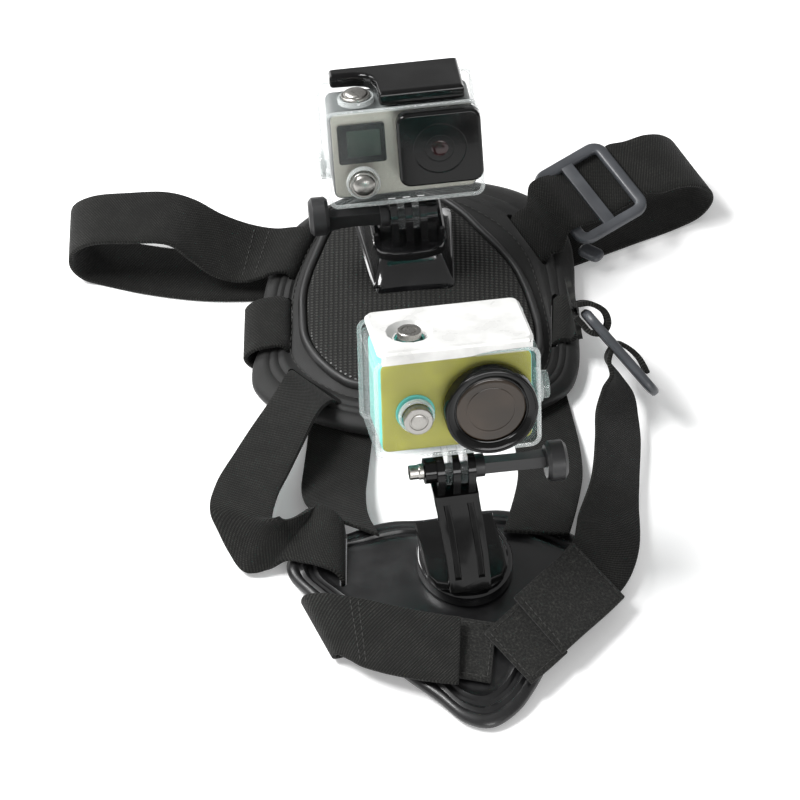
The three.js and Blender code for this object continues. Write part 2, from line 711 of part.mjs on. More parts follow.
// Camera body inside a housing
function cameraBody(h, front, rear, corner) {
  const margin = HOUSING_WALL + HOUSING_AIR;
  const shape = roundedRect(2 * (h.half - margin), h.top - h.bottom - 2 * margin + 0.8, corner);
  const geometry = frontBlock(shape, h.front + front, h.back - DOOR_THICKNESS - rear, 0.6);
  geometry.translate(h.shift, 0, (h.top + h.bottom) / 2);
  return geometry;
}

// Push button: a stem and a cap that stands off by its travel, domed or flat
const BUTTON_STEM = HOUSING_WALL - 0.9;
const BUTTON_LIFT = BUTTON_TRAVEL + 0.3;
function button(radius, height, dome) {
  const rim = height * (dome ? 0.4 : 0.85);
  return lathe([
    [0, -BUTTON_STEM], [1.6, -BUTTON_STEM], [1.6, BUTTON_LIFT], [radius, BUTTON_LIFT],
    [radius, BUTTON_LIFT + rim], [radius * 0.74, BUTTON_LIFT + height * 0.93], [0, BUTTON_LIFT + height],
  ], 12);;
}

// Rear camera: place, direction, collar radius (none if 0), cap height, domed or flat
const REAR_BUTTONS = {
  rear_top_button: [[14.6 - REAR.half, 4.4, REAR.top], "z", 6, 3.4, true, "steel"],
  rear_front_button: [[14.6 - REAR.half, REAR.front, 18.4], "-y", 5.6, 3.8, true, "steel"],
  rear_side_button: [[-REAR.half, 4.6, 23.5], "-x", 4.6, 3.6, false, "clear"],
};
const CHEST_BUTTONS = {
  chest_top_button: [[18.2 - CHEST.half, 12.4, CHEST.top], "z", 0, 3, false, "steel"],
  chest_front_button: [[17.6 - CHEST.half, CHEST.front, 26.4], "-y", 5.6, 4, false, "steel"],
  chest_side_button: [[CHEST.shift + CHEST.half, 9, 27.4], "x", 5.4, 3.2, false, "clear"],
};
const bores = (set) => Object.values(set).map(([at, turn, radius]) => [at, turn, radius]);
function putButtons(parent, set) {
  for (const [name, [at, turn, radius, height, dome, material]] of Object.entries(set)) {
    put(parent, name, turned(button(radius || 4.7, height, dome), at, turn), material);
  }
}

const rearLug = (x) => {
  const geometry = block(roundedRect(3.2, 8, 1.2), REAR.top - 1, REAR.top + 4.6, 0.6, 1);
  geometry.translate(x, 17, 0);
  return solid(geometry);
};
put(rearCamera, "rear_housing", geometryOf(housing(
  REAR,
  bores(REAR_BUTTONS),
  [rearLug(REAR.half - 3), rearLug(2.6 - REAR.half)],
)), "clear");
put(rearCamera, "rear_door", door(REAR), "clear");
put(rearCamera, "rear_body", cameraBody(REAR, 3.9, 2, 3), "silver");
const rearScreen = frontBlock(roundedRect(19.4, 17.4, 1), REAR.front + 2.5, REAR.front + 3.5, 0, 1);
rearScreen.translate(15.3 - REAR.half, 0, 34.2);
put(rearCamera, "rear_screen", rearScreen, "screen");
const rearWindow = frontBlock(roundedRect(34.4, 32.4, 4.5), REAR.front - 6.2, REAR.front - GAP, 1.2, 2, 2);
rearWindow.translate(REAR.half - 17.6, 0, 32.7);
put(rearCamera, "rear_window", rearWindow, "gloss");

const latchShape = new THREE.Shape();
latchShape.moveTo(REAR.half - 5.8, -5);
latchShape.lineTo(REAR.half - 5.8, 23.4);
latchShape.lineTo(5.2 - REAR.half, 23.4);
latchShape.lineTo(5.2 - REAR.half, 16.4);
latchShape.lineTo(15 - REAR.half, 15.9);
latchShape.quadraticCurveTo(22 - REAR.half, 14.6, 23 - REAR.half, 7);
latchShape.lineTo(23.6 - REAR.half, -5);
put(rearCamera, "rear_latch", block(latchShape, REAR.top + GAP, REAR.top + 6.9, 1.8, 3, 2), "black");
putButtons(rearCamera, REAR_BUTTONS);

// Chest camera
put(chestCamera, "chest_housing", geometryOf(housing(CHEST, bores(CHEST_BUTTONS), [])), "clear");
put(chestCamera, "chest_door", door(CHEST), "clear");
put(chestCamera, "chest_body", cameraBody(CHEST, 2.4, 3, 3), "olive");

// White lid: a plate with a well round the top button and a lip that waves along the front
const lidPlate = block(roundedRect(60.4, 34.4, 3.6), CHEST.top + GAP, CHEST.top + 4, 1.2);
lidPlate.translate(CHEST.shift, (CHEST.front + CHEST.back) / 2 - 0.6, 0);
const lipShape = new THREE.Shape();
lipShape.moveTo(-29, CHEST.top + 2.8);
lipShape.lineTo(-29, CHEST.top - 0.9);
lipShape.lineTo(2, CHEST.top - 0.6);
lipShape.quadraticCurveTo(6, CHEST.top - 0.4, 9, CHEST.top + 0.3);
lipShape.quadraticCurveTo(12, CHEST.top + 0.9, 16, CHEST.top + 0.9);
lipShape.lineTo(29, CHEST.top + 0.9);
lipShape.lineTo(29, CHEST.top + 2.8);
const lip = frontBlock(lipShape, CHEST.front - GAP - 1.6, CHEST.front - GAP, 0, 2);
lip.translate(CHEST.shift, 0, 0);
const lipBridge = block(roundedRect(56, 4, 0.6), CHEST.top + 1.2, CHEST.top + 3.4, 0, 1);
lipBridge.translate(CHEST.shift, CHEST.front - GAP + 0.2, 0);
const well = new THREE.CylinderGeometry(9.8, 6.6, 3.6, 14);
well.rotateX(Math.PI / 2);
well.translate(-14, 12.4, CHEST.top + GAP + 2.6);
const wellBore = new THREE.CylinderGeometry(6, 6, 12, 14);
wellBore.rotateX(Math.PI / 2);
wellBore.translate(-14, 12.4, CHEST.top);
const chestLid = joinAll([solid(lidPlate), solid(lip), solid(lipBridge)]).subtract(solid(well)).subtract(solid(wellBore));
put(chestCamera, "chest_lid", geometryOf(chestLid), "white");

// Round bezel with a glass let into it
const BEZEL_RADIUS = 18;
const GLASS_RADIUS = 13.4;
const bezelAt = [CHEST.shift + 12, CHEST.front - GAP, 27.6];
const bezel = lathe([
  [0, 0], [BEZEL_RADIUS, 0], [BEZEL_RADIUS, 5.6], [BEZEL_RADIUS - 1, 6.4], [BEZEL_RADIUS - 2, 6.2],
  [GLASS_RADIUS + GAP, 4.4], [GLASS_RADIUS + GAP, 2.4], [0, 2.4],
], 30);
put(chestCamera, "chest_bezel", turned(bezel, bezelAt, "-y"), "black");
const lensGlass = lathe([
  [0, 2.4 + GAP], [GLASS_RADIUS, 2.4 + GAP], [GLASS_RADIUS, 3.8], [GLASS_RADIUS * 0.5, 4.3], [0, 4.5],
], 20);
put(chestCamera, "chest_glass", turned(lensGlass, bezelAt, "-y"), "glass");
putButtons(chestCamera, CHEST_BUTTONS);

// Chest pad with a groove parallel to its edge
const chestEdge = outlineOf(CHEST_EDGE, 40);
const chestCentre = [SHIELD_CENTRE_X, SHIELD_CENTRE_Y];
const SHIELD_GROOVE = [[10.8, 0], [9.8, -0.9], [8.4, -0.9], [7.2, 0.3]];
const chestPad = CHEST_SLOTS.reduce(
  (body, slot) => body.subtract(slotCutter(slot)),
  solid(moulded(chestEdge, chestCentre, SHIELD_THICKNESS, chestSurface, SHIELD_GROOVE)),
);
put(layout, "chest_pad", geometryOf(chestPad), "gloss");

// Oval base on the chest pad, its foot fitted to the pad
const BASE = { x: 25.2, y: -101, halfX: 18.8, halfY: 23, yaw: 10 };
const baseRings = [];
for (const [t, z] of [[1, 2], [1, 10.4], [0.97, 12.2], [0.86, 15.2], [0.8, CHEST_BASE_TOP]]) {
  const ring = [];
  for (let i = 0; i < 24; i += 1) {
    const a = i * Math.PI / 12;
    const p = v3(BASE.halfX * t * Math.cos(a), BASE.halfY * t * Math.sin(a), z);
    p.applyAxisAngle(v3(0, 0, 1), rad(BASE.yaw));
    ring.push(p.add(v3(BASE.x, BASE.y, 0)));
  }
  baseRings.push(ring);
}
const shieldLevels = (d) => [
  [shrinkOutline(chestEdge, chestCentre, 0.3), d],
  [shrinkOutline(chestEdge, chestCentre, 0.62), d],
  [offsetOutline(chestEdge, -10.8), d],
  [offsetOutline(chestEdge, -7.2), d + 0.3],
  [chestEdge, d + 0.3],
  [chestEdge, -30],
];
const chestBase = solid(loft(baseRings)).subtract(solid(sheetOf(shieldLevels(GAP), chestSurface)));
put(layout, "chest_base", geometryOf(chestBase), "gloss");

// Raised arm: foot plate with a front lip, a leaning neck and three fingers at the pivot
const ARM_STATIONS = [
  [26.8, -118, 18.4, 17, 10],
  [26.4, -117, 24, 17, 9.6],
  [25.4, -113.4, 33, 17, 9],
  [23.4, -108, 44, 17.4, 10],
  [21.4, -103.6, 53, 17.8, 12],
  [20.9, -102, 56.4, 17.8, 13],
];
const armRings = ARM_STATIONS.map(([x, y, z, width, depth]) => {
  const outline = roundedRect(width, depth, 1.6).getPoints(1).slice(0, -1);
  return outline.map((p) => v3(p.x, p.y, 0).applyAxisAngle(v3(0, 0, 1), rad(CHEST_PIVOT.yaw)).add(v3(x, y, z)));
});
const channel = (side) => {
  const rings = ARM_STATIONS.slice(1, 5).map(([x, y, z, , depth]) => {
    const outline = roundedRect(2.6, 3, 0.6).getPoints(1).slice(0, -1);
    return outline.map((p) => v3(p.x + side * 4.6, p.y - depth / 2, 0)
      .applyAxisAngle(v3(0, 0, 1), rad(CHEST_PIVOT.yaw)).add(v3(x, y, z)));
  });
  return solid(loft(rings));
};
const footPlate = block(plateShape(15.6, -14, 22), CHEST_BASE_TOP + GAP, CHEST_BASE_TOP + 5, 1.4, 2, 2);
footPlate.rotateZ(rad(CHEST_PIVOT.yaw));
footPlate.translate(25, -108, 0);
const armFingers = joinAll([...fingers(-9.5), boss(-1)]).subtract(bore);
const toLayout = (body) => solid(geometryOf(body).applyMatrix4(chestMount.matrix));
const chestArm = joinAll([solid(footPlate), solid(loft(armRings)), toLayout(armFingers)])
  .subtract(channel(-1)).subtract(channel(1));
put(layout, "chest_arm", geometryOf(chestArm), "black");

// Strap sliders: frames with a narrow and a wide window
function slider({ length, width, narrow }) {
  const shape = roundedRect(length, width, 2.4);
  const open = width - 3 * SLIDER_BAR;
  for (const [start, height] of [[0, open * narrow], [open * narrow + SLIDER_BAR, open * (1 - narrow)]]) {
    const hole = new THREE.Path();
    const w = length / 2 - SLIDER_BAR;
    const low = -width / 2 + SLIDER_BAR + start;
    hole.moveTo(w, low);
    hole.lineTo(w, low + height);
    hole.lineTo(-w, low + height);
    hole.lineTo(-w, low);
    shape.holes.push(hole);
  }
  return block(shape, -SLIDER_THICKNESS / 2, SLIDER_THICKNESS / 2, 0.5, 1);
}

function sliderAxes({ heading, tilt, run }) {
  const side = across(heading, tilt);
  const along = v3(...run);
  along.addScaledVector(side, -along.dot(side)).normalize();
  return [side, along, side.clone().cross(along)];
}

function putSlider(name, frame) {
  const mesh = put(layout, name, slider(frame), "satin");
  mesh.quaternion.setFromRotationMatrix(new THREE.Matrix4().makeBasis(...sliderAxes(frame)));
  mesh.position.set(frame.x, frame.y, frame.z);
}
putSlider("slider_rear", REAR_SLIDER);
putSlider("slider_side", SIDE_SLIDER);

// Stations in a slider's own directions, written in the working frame
function throughSlider(frame, rows) {
  const [, along, up] = sliderAxes(frame);
  return rows.map(([run, rise]) => {
    const p = v3(frame.x, frame.y, frame.z).addScaledVector(along, run).addScaledVector(up, rise);
    return [p.x, p.y, p.z, frame.heading, frame.tilt];
  });
}

// Over the first bar, under the middle bar and under the last one
const lift = SLIDER_THICKNESS / 2 + WEB / 2 + GAP + 0.5;
const firstBar = (SLIDER_BAR - REAR_SLIDER.width) / 2;
const middleBar = firstBar + SLIDER_BAR + (REAR_SLIDER.width - 3 * SLIDER_BAR) * REAR_SLIDER.narrow;
const lastBar = -firstBar;
const REAR_THREAD = [
  [firstBar - 3.4, lift * 0.5], [firstBar, lift], [(firstBar + middleBar) / 2, 0], [middleBar, -lift],
  [(middleBar + lastBar) / 2, -lift], [lastBar, -lift], [lastBar + 4, -lift * 0.7],
];

// Small tab at the right edge of the back pad
const padTab = block(roundedRect(11, 7.5, 3), 6.2, 9.4, 1);
padTab.rotateZ(rad(-35));
padTab.translate(79.6, 79, 0);
put(layout, "pad_tab", padTab, "satin");

// Straps
const rearRight = [...REAR_RIGHT_START, ...throughSlider(REAR_SLIDER, REAR_THREAD), ...REAR_RIGHT_END];
const midRight = [...MID_RIGHT_START, ...throughSlider(SIDE_SLIDER, MID_RIGHT_LOOP)];
const hanging = [...throughSlider(SIDE_SLIDER, HANGING_LOOP), ...HANGING_END];
put(layout, "strap_rear_left", ribbon(REAR_LEFT_STATIONS, GIRTH_WIDTH), "webbing");
put(layout, "strap_rear_right", ribbon(rearRight, GIRTH_WIDTH), "webbing");
put(layout, "strap_mid_left", ribbon(MID_LEFT_STATIONS, GIRTH_WIDTH), "webbing");
put(layout, "strap_mid_right", ribbon(midRight, NECK_WIDTH), "webbing");
put(layout, "strap_lower_left", ribbon(LOWER_LEFT_STATIONS, LOWER_LEFT_WIDTH), "webbing");
put(layout, "strap_neck_left", ribbon(NECK_LEFT_STATIONS, NECK_WIDTH), "webbing");
put(layout, "strap_neck_right", ribbon(NECK_RIGHT_STATIONS, NECK_WIDTH), "webbing");
put(layout, "strap_hanging", ribbon(hanging, HANGING_WIDTH), "webbing");
put(layout, "band_left", ribbon(BAND_LEFT_STATIONS, BELLY_WIDTH), "webbing");
put(layout, "band_right", ribbon(BAND_RIGHT_STATIONS, BELLY_WIDTH - 1), "webbing");

// Hook-and-loop tabs at the ends of the belly band
put(layout, "tab_left", ribbon(TAB_LEFT_STATIONS, BELLY_WIDTH - 2, 1, TAB_THICKNESS), "webbing");
put(layout, "tab_right", ribbon(TAB_RIGHT_STATIONS, BELLY_WIDTH - 2, 1, TAB_THICKNESS), "webbing");

// The origin is the middle of the footprint, on the floor
group.updateMatrixWorld(true);
const bounds = new THREE.Box3().setFromObject(group, true);
layout.position.set(
  -(bounds.min.x + bounds.max.x) / 2,
  -(bounds.min.y + bounds.max.y) / 2,
  -bounds.min.z,
);
group.updateMatrixWorld(true);

export default group;
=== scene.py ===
"""Pet camera harness: looks, stage and camera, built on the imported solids."""

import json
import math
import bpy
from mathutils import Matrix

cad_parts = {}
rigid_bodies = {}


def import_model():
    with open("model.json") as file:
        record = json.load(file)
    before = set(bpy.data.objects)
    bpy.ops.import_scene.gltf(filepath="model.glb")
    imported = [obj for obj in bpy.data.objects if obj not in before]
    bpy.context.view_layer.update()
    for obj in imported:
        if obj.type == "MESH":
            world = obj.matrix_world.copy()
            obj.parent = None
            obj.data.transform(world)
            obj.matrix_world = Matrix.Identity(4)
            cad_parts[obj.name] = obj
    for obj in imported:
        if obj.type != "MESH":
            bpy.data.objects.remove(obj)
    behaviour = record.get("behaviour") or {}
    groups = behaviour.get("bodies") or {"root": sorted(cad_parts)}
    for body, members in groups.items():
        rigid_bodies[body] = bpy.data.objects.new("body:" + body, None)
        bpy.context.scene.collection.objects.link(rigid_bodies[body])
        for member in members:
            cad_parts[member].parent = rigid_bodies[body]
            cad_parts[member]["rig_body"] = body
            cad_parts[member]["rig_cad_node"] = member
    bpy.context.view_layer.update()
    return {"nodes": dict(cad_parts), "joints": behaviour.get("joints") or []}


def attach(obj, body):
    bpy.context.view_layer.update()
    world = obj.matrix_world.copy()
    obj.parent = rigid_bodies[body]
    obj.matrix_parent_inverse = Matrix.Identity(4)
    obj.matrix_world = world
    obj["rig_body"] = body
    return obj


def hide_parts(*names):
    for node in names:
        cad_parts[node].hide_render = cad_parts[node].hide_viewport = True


bl_info = {
    "name": "Pet camera harness",
    "version": (1, 0, 0),
    "blender": (4, 5, 0),
    "location": "3D View > Sidebar > Harness",
    "description": "Builds the harness, its straps and its two cameras",
    "category": "Object",
}

import bpy
from mathutils import Matrix, Vector

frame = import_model()

MM = 0.001
TURN = 2 * math.pi

# Places and sizes below are in mm in the frame that the harness was laid out in
BACK_PIVOT = Vector((3.2, 62.3, 46))
CHEST_PIVOT = Vector((20.8, -101.2, 64.4))
BACK_TURN = (6.4, 2.1, 16.6)
CHEST_TURN = (10.2, -1.4, 15.7)
TILT = next(joint for joint in frame["joints"] if joint["name"] == "rear_camera_tilt")
ORIGIN = Vector(TILT["pos_m"]) - BACK_PIVOT * MM

REAR = {"half": 32, "front": -4.6, "back": 25.4, "bottom": 7.3, "top": 50.6, "shift": 0}
CHEST = {"half": 32.2, "front": -2.4, "back": 32.4, "bottom": 7.3, "top": 50.8, "shift": 1.6}


def srgb(code):
    """Linear red, green and blue of an sRGB hex colour."""
    parts = [int(code[i:i + 2], 16) / 255 for i in (1, 3, 5)]
    return tuple(c / 12.92 if c <= 0.04045 else ((c + 0.055) / 1.055) ** 2.4 for c in parts)


# Settings


class HarnessSizes(bpy.types.PropertyGroup):
    web: bpy.props.FloatProperty(
        name="Webbing", description="Thickness of the straps", default=0.0017, min=0.001, max=0.003,
        subtype="DISTANCE", unit="LENGTH")
    twill: bpy.props.FloatProperty(
        name="Twill pitch", description="Distance between two diagonal ribs of the webbing", default=0.0011,
        min=0.0005, max=0.004, subtype="DISTANCE", unit="LENGTH")
    knot: bpy.props.FloatProperty(
        name="Mesh pitch", description="Distance between two knots of the mesh panel", default=0.002,
        min=0.001, max=0.006, subtype="DISTANCE", unit="LENGTH")
    stitch: bpy.props.FloatProperty(
        name="Stitch length", description="Length of one stitch", default=0.0024, min=0.001, max=0.006,
        subtype="DISTANCE", unit="LENGTH")
    thread: bpy.props.FloatProperty(
        name="Thread", description="Radius of the sewing thread", default=0.00026, min=0.0001, max=0.001,
        subtype="DISTANCE", unit="LENGTH")


class HarnessColours(bpy.types.PropertyGroup):
    webbing: bpy.props.FloatVectorProperty(
        name="Webbing", description="Ground colour of the straps",
        default=srgb("#0d0d0c"), subtype="COLOR")
    # The raised yarn colour on the rib crowns is partly a painted highlight
    yarn: bpy.props.FloatVectorProperty(
        name="Raised yarn", description="Colour of the raised yarns",
        default=srgb("#363633"), subtype="COLOR")
    face: bpy.props.FloatVectorProperty(
        name="Chest camera", description="Front of the chest camera",
        default=srgb("#9a972c"), subtype="COLOR")
    sides: bpy.props.FloatVectorProperty(
        name="Chest camera sides", description="Sides of the chest camera",
        default=srgb("#5cc4b8"), subtype="COLOR")
    silver: bpy.props.FloatVectorProperty(
        name="Rear camera", description="Body of the rear camera",
        default=srgb("#bab8ad"), subtype="COLOR")


# Materials


def add(tree, kind, *links, **settings):
    """Adds a node; links fill its inputs in order with sockets or values, None leaves one as it is."""
    made = tree.nodes.new(kind)
    for key, value in settings.items():
        setattr(made, key, value)
    for socket, value in zip(made.inputs, links):
        if isinstance(value, bpy.types.NodeSocket):
            tree.links.new(value, socket)
        elif value is not None:
            socket.default_value = value
    return made


def maths(tree, operation, a, b=None, c=None, clamp=False):
    return add(tree, "ShaderNodeMath", a, b, c, operation=operation, use_clamp=clamp).outputs[0]


def mix(tree, factor, a, b):
    made = add(tree, "ShaderNodeMix", data_type="RGBA")
    for name, value in (("Factor_Float", factor), ("A_Color", a), ("B_Color", b)):
        socket = next(s for s in made.inputs if s.identifier == name)
        if isinstance(value, bpy.types.NodeSocket):
            tree.links.new(value, socket)
        else:
            socket.default_value = value if name == "Factor_Float" else (*value, 1)
    return next(s for s in made.outputs if s.identifier == "Result_Color")


def material(name, roughness, metallic=0.0, **sockets):
    """A new material with its Principled shader; sockets are shader inputs by name."""
    made = bpy.data.materials.new(name)
    made.use_nodes = True
    tree = made.node_tree
    shader = tree.nodes["Principled BSDF"]
    shader.inputs["Roughness"].default_value = roughness
    shader.inputs["Metallic"].default_value = metallic
    for key, value in sockets.items():
        shader.inputs[key.replace("_", " ")].default_value = value
    return made, tree, shader


def coordinates(tree, kind="Object"):
    """Object gives metres in the part's own frame, and UV metres across and along a strap."""
    return tree.nodes.new("ShaderNodeTexCoord").outputs[kind]


def wave(tree, vector, a, b):
    """Sine of the place along (a, b) turns per metre."""
    dot = add(tree, "ShaderNodeVectorMath", vector, (a * TURN, b * TURN, 0), operation="DOT_PRODUCT")
    return maths(tree, "SINE", dot.outputs["Value"])


def noise(tree, vector, size, detail=2.0, roughness=0.5):
    made = add(tree, "ShaderNodeTexNoise")
    tree.links.new(vector, made.inputs["Vector"])
    made.inputs["Scale"].default_value = 1 / size
    made.inputs["Detail"].default_value = detail
    made.inputs["Roughness"].default_value = roughness
    return made.outputs["Fac"]


def spread(tree, value, low, high, to_low=0.0, to_high=1.0):
    made = add(tree, "ShaderNodeMapRange", value, low, high, to_low, to_high)
    made.interpolation_type = "SMOOTHSTEP"
    return made.outputs[0]


def bump(tree, shader, height, distance, strength=1.0):
    made = add(tree, "ShaderNodeBump")
    made.inputs["Strength"].default_value = strength
    made.inputs["Distance"].default_value = distance
    tree.links.new(height, made.inputs["Height"])
    tree.links.new(made.outputs["Normal"], shader.inputs["Normal"])


def webbing(name, pitch, ground, yarn, slope=1.0, depth=0.00018):
    """Elastic twill webbing: diagonal ribs broken into short yarns, their crowns paler, partly from pale
    speckled fibres and partly as a painted highlight where light catches the ribs.
    """
    made, tree, shader = material(name, 0.86, Specular_IOR_Level=0.2, Sheen_Weight=0.06, Sheen_Roughness=0.5)
    uv = coordinates(tree, "UV")
    ribs = wave(tree, uv, 0.62 / pitch, slope / pitch)
    yarns = wave(tree, uv, -1.3 / pitch, 0.9 * slope / pitch)
    crown = spread(tree, maths(tree, "ADD", ribs, maths(tree, "MULTIPLY", yarns, 0.85)), -1.2, 1.6)
    fibre = noise(tree, uv, 0.0007, 3.0, 0.7)
    dust = noise(tree, uv, 0.009, 3.0)
    height = maths(tree, "MULTIPLY_ADD", fibre, 0.5, crown)
    # Paler crowns: partly speckled pale yarns, partly a painted highlight on the ribs
    paler_tone = maths(tree, "POWER", crown, 1.6)
    lit = maths(tree, "MULTIPLY", paler_tone, spread(tree, fibre, 0.34, 0.66, 0.15, 1.0))
    lit = maths(tree, "MULTIPLY", lit, spread(tree, dust, 0.3, 0.7, 0.5, 1.0))
    tree.links.new(mix(tree, lit, ground, yarn), shader.inputs["Base Color"])
    bump(tree, shader, height, depth)
    return made


def napped(name, ground, pile):
    """Hook-and-loop cloth: a short matted pile, paler where the loops stand up."""
    made, tree, shader = material(name, 0.95, Specular_IOR_Level=0.15, Sheen_Weight=0.1, Sheen_Roughness=0.6)
    uv = coordinates(tree, "UV")
    curl = noise(tree, uv, 0.0011, 4.0, 0.75)
    clump = noise(tree, uv, 0.004, 2.0)
    lit = maths(tree, "MULTIPLY", spread(tree, curl, 0.42, 0.68), spread(tree, clump, 0.3, 0.7, 0.45, 1.0))
    tree.links.new(mix(tree, lit, ground, pile), shader.inputs["Base Color"])
    bump(tree, shader, curl, 0.0005)
    return made


def knotted(name, pitch, ground, strand_and_sheen):
    """Spacer mesh: staggered shiny knots standing over small dark holes; the paler colour on the knots is
    partly the strand colour and partly a painted sheen.
    """
    made, tree, shader = material(name, 0.5)
    place = coordinates(tree)
    one = wave(tree, place, 0.5 / pitch, 0.62 / pitch)
    two = wave(tree, place, 0.5 / pitch, -0.62 / pitch)
    cell = maths(tree, "MULTIPLY", one, two)
    knot = spread(tree, cell, -0.15, 0.55)
    fibre = noise(tree, place, 0.0006, 2.0)
    lit = maths(tree, "MULTIPLY", knot, spread(tree, fibre, 0.3, 0.6, 0.6, 1.0))
    # Paler knots over the black ground: partly strand colour, partly a painted sheen
    tree.links.new(mix(tree, lit, ground, strand_and_sheen), shader.inputs["Base Color"])
    tree.links.new(spread(tree, knot, 0.0, 1.0, 0.85, 0.38), shader.inputs["Roughness"])
    bump(tree, shader, maths(tree, "MULTIPLY_ADD", fibre, 0.15, knot), 0.0006)
    return made


def foam(name, colour, paler_tone):
    """Moulded foam under smooth stretch cloth: a fine knit, a soft sheen and slightly paler high spots."""
    made, tree, shader = material(name, 0.6, Specular_IOR_Level=0.35, Sheen_Weight=0.06, Sheen_Roughness=0.45)
    place = coordinates(tree)
    knit = maths(tree, "MULTIPLY", wave(tree, place, 1400, 0), wave(tree, place, 0, 1400))
    patch = noise(tree, place, 0.014, 3.0)
    tree.links.new(mix(tree, spread(tree, patch, 0.3, 0.75), colour, paler_tone), shader.inputs["Base Color"])
    tree.links.new(spread(tree, patch, 0.2, 0.8, 0.52, 0.7), shader.inputs["Roughness"])
    bump(tree, shader, knit, 0.00006, 0.6)
    return made


def moulded(name, colour, roughness, grain=0.00002, size=0.0008, rub=0.12, **sockets):
    """Injection-moulded plastic or rubber: fine tool grain and slightly uneven gloss from handling."""
    made, tree, shader = material(name, roughness, **sockets)
    place = coordinates(tree)
    patch = noise(tree, place, 0.012, 3.0)
    tone = tuple(min(1.0, c * 1.35 + 0.004) for c in colour)
    tree.links.new(mix(tree, spread(tree, patch, 0.35, 0.8), colour, tone), shader.inputs["Base Color"])
    low = max(0.02, roughness - rub / 2)
    high = min(1.0, roughness + rub / 2)
    tree.links.new(spread(tree, patch, 0.25, 0.75, low, high), shader.inputs["Roughness"])
    bump(tree, shader, noise(tree, place, size, 2.0), grain)
    return made


def clear(name, tint, alpha):
    """Clear polycarbonate: thin where it is seen straight on, more opaque in its pale tint along its edges,
    partly for the longer path through the wall and partly as a painted reflection that makes them bright.
    """
    made, tree, shader = material(name, 0.04, Specular_IOR_Level=1.0)
    place = coordinates(tree)
    haze = noise(tree, place, 0.02, 2.0)
    tree.links.new(mix(tree, haze, tint, tuple(c * 0.93 for c in tint)), shader.inputs["Base Color"])
    # Opacity rising at grazing angles: partly the thicker path through the wall, partly a painted edge
    # reflection
    rim = add(tree, "ShaderNodeLayerWeight")
    rim.inputs["Blend"].default_value = 0.4
    edge = maths(tree, "POWER", rim.outputs["Facing"], 3.0)
    tree.links.new(maths(tree, "MULTIPLY_ADD", edge, 0.5, alpha, clamp=True), shader.inputs["Alpha"])
    bump(tree, shader, haze, 0.00008, 0.4)
    return made


def turned_steel(name):
    """Turned and polished steel: faint concentric tool marks."""
    made, tree, shader = material(name, 0.3, 1.0, Anisotropic=0.3)
    place = coordinates(tree)
    marks = noise(tree, place, 0.0009, 4.0, 0.7)
    tree.links.new(mix(tree, marks, srgb("#918f8b"), srgb("#aba9a5")), shader.inputs["Base Color"])
    tree.links.new(spread(tree, marks, 0.3, 0.7, 0.26, 0.36), shader.inputs["Roughness"])
    bump(tree, shader, marks, 0.000002, 0.3)
    return made


def painted(name, colour):
    """Silver paint: fine metal flake under a satin lacquer."""
    made, tree, shader = material(name, 0.42, 0.35, Coat_Weight=0.25, Coat_Roughness=0.2)
    place = coordinates(tree)
    flake = noise(tree, place, 0.00035, 1.0)
    tree.links.new(mix(tree, spread(tree, flake, 0.35, 0.7), tuple(c * 0.82 for c in colour), colour),
                   shader.inputs["Base Color"])
    bump(tree, shader, flake, 0.000008, 0.5)
    return made


def display(name, colour, glow):
    """Small display behind its cover: even dark green with slightly paler patches."""
    made, tree, shader = material(name, 0.25, Specular_IOR_Level=0.3)
    place = coordinates(tree)
    patch = noise(tree, place, 0.011, 1.0)
    tree.links.new(mix(tree, spread(tree, patch, 0.3, 0.7), colour, glow), shader.inputs["Base Color"])
    return made


def lens(name, colour, centre):
    """Coated lens glass: brown over dark, uneven as the light inside it is."""
    made, tree, shader = material(name, 0.12, Specular_IOR_Level=0.35, Coat_Weight=0.25, Coat_Roughness=0.03)
    place = coordinates(tree)
    patch = noise(tree, place, 0.016, 1.0)
    tree.links.new(mix(tree, spread(tree, patch, 0.35, 0.65), colour, centre), shader.inputs["Base Color"])
    return made


# Shapes


def only(obj):
    bpy.ops.object.select_all(action="DESELECT")
    obj.select_set(True)
    bpy.context.view_layer.objects.active = obj


def modify(obj, kind, **settings):
    """Adds a modifier and applies it."""
    only(obj)
    made = obj.modifiers.new(kind.title(), kind)
    for key, value in settings.items():
        setattr(made, key, value)
    bpy.ops.object.modifier_apply(modifier=made.name)


def weld(obj, distance=2e-6):
    """Joins corners that meet and turns all faces outward."""
    only(obj)
    bpy.ops.object.mode_set(mode="EDIT")
    bpy.ops.mesh.select_all(action="SELECT")
    bpy.ops.mesh.remove_doubles(threshold=distance)
    bpy.ops.mesh.normals_make_consistent(inside=False)
    bpy.ops.object.mode_set(mode="OBJECT")


def smooth(obj, angle):
    only(obj)
    bpy.ops.object.shade_smooth_by_angle(angle=math.radians(angle))


def surface(name, across, along, place, closed=False):
    """A grid laid on a surface: place(i, j) gives the corner at step i across and j along."""
    bpy.ops.object.select_all(action="DESELECT")
    bpy.ops.mesh.primitive_grid_add(x_subdivisions=across, y_subdivisions=along, size=1)
    obj = bpy.context.object
    obj.name = name
    for corner in obj.data.vertices:
        i = round((corner.co.x + 0.5) * across)
        j = round((corner.co.y + 0.5) * along)
        corner.co = place(i % across if closed else i, j)
    if closed:
        weld(obj)
    return obj


def give(obj, finish, body, slot, *nodes):
    """Material, body and the CAD nodes that a piece stands for; the slot is not used."""
    obj.data.materials.clear()
    obj.data.materials.append(finish)
    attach(obj, body)
    if nodes:
        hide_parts(*nodes)
    return obj


def body_of(node):
    return frame["nodes"][node]["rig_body"]


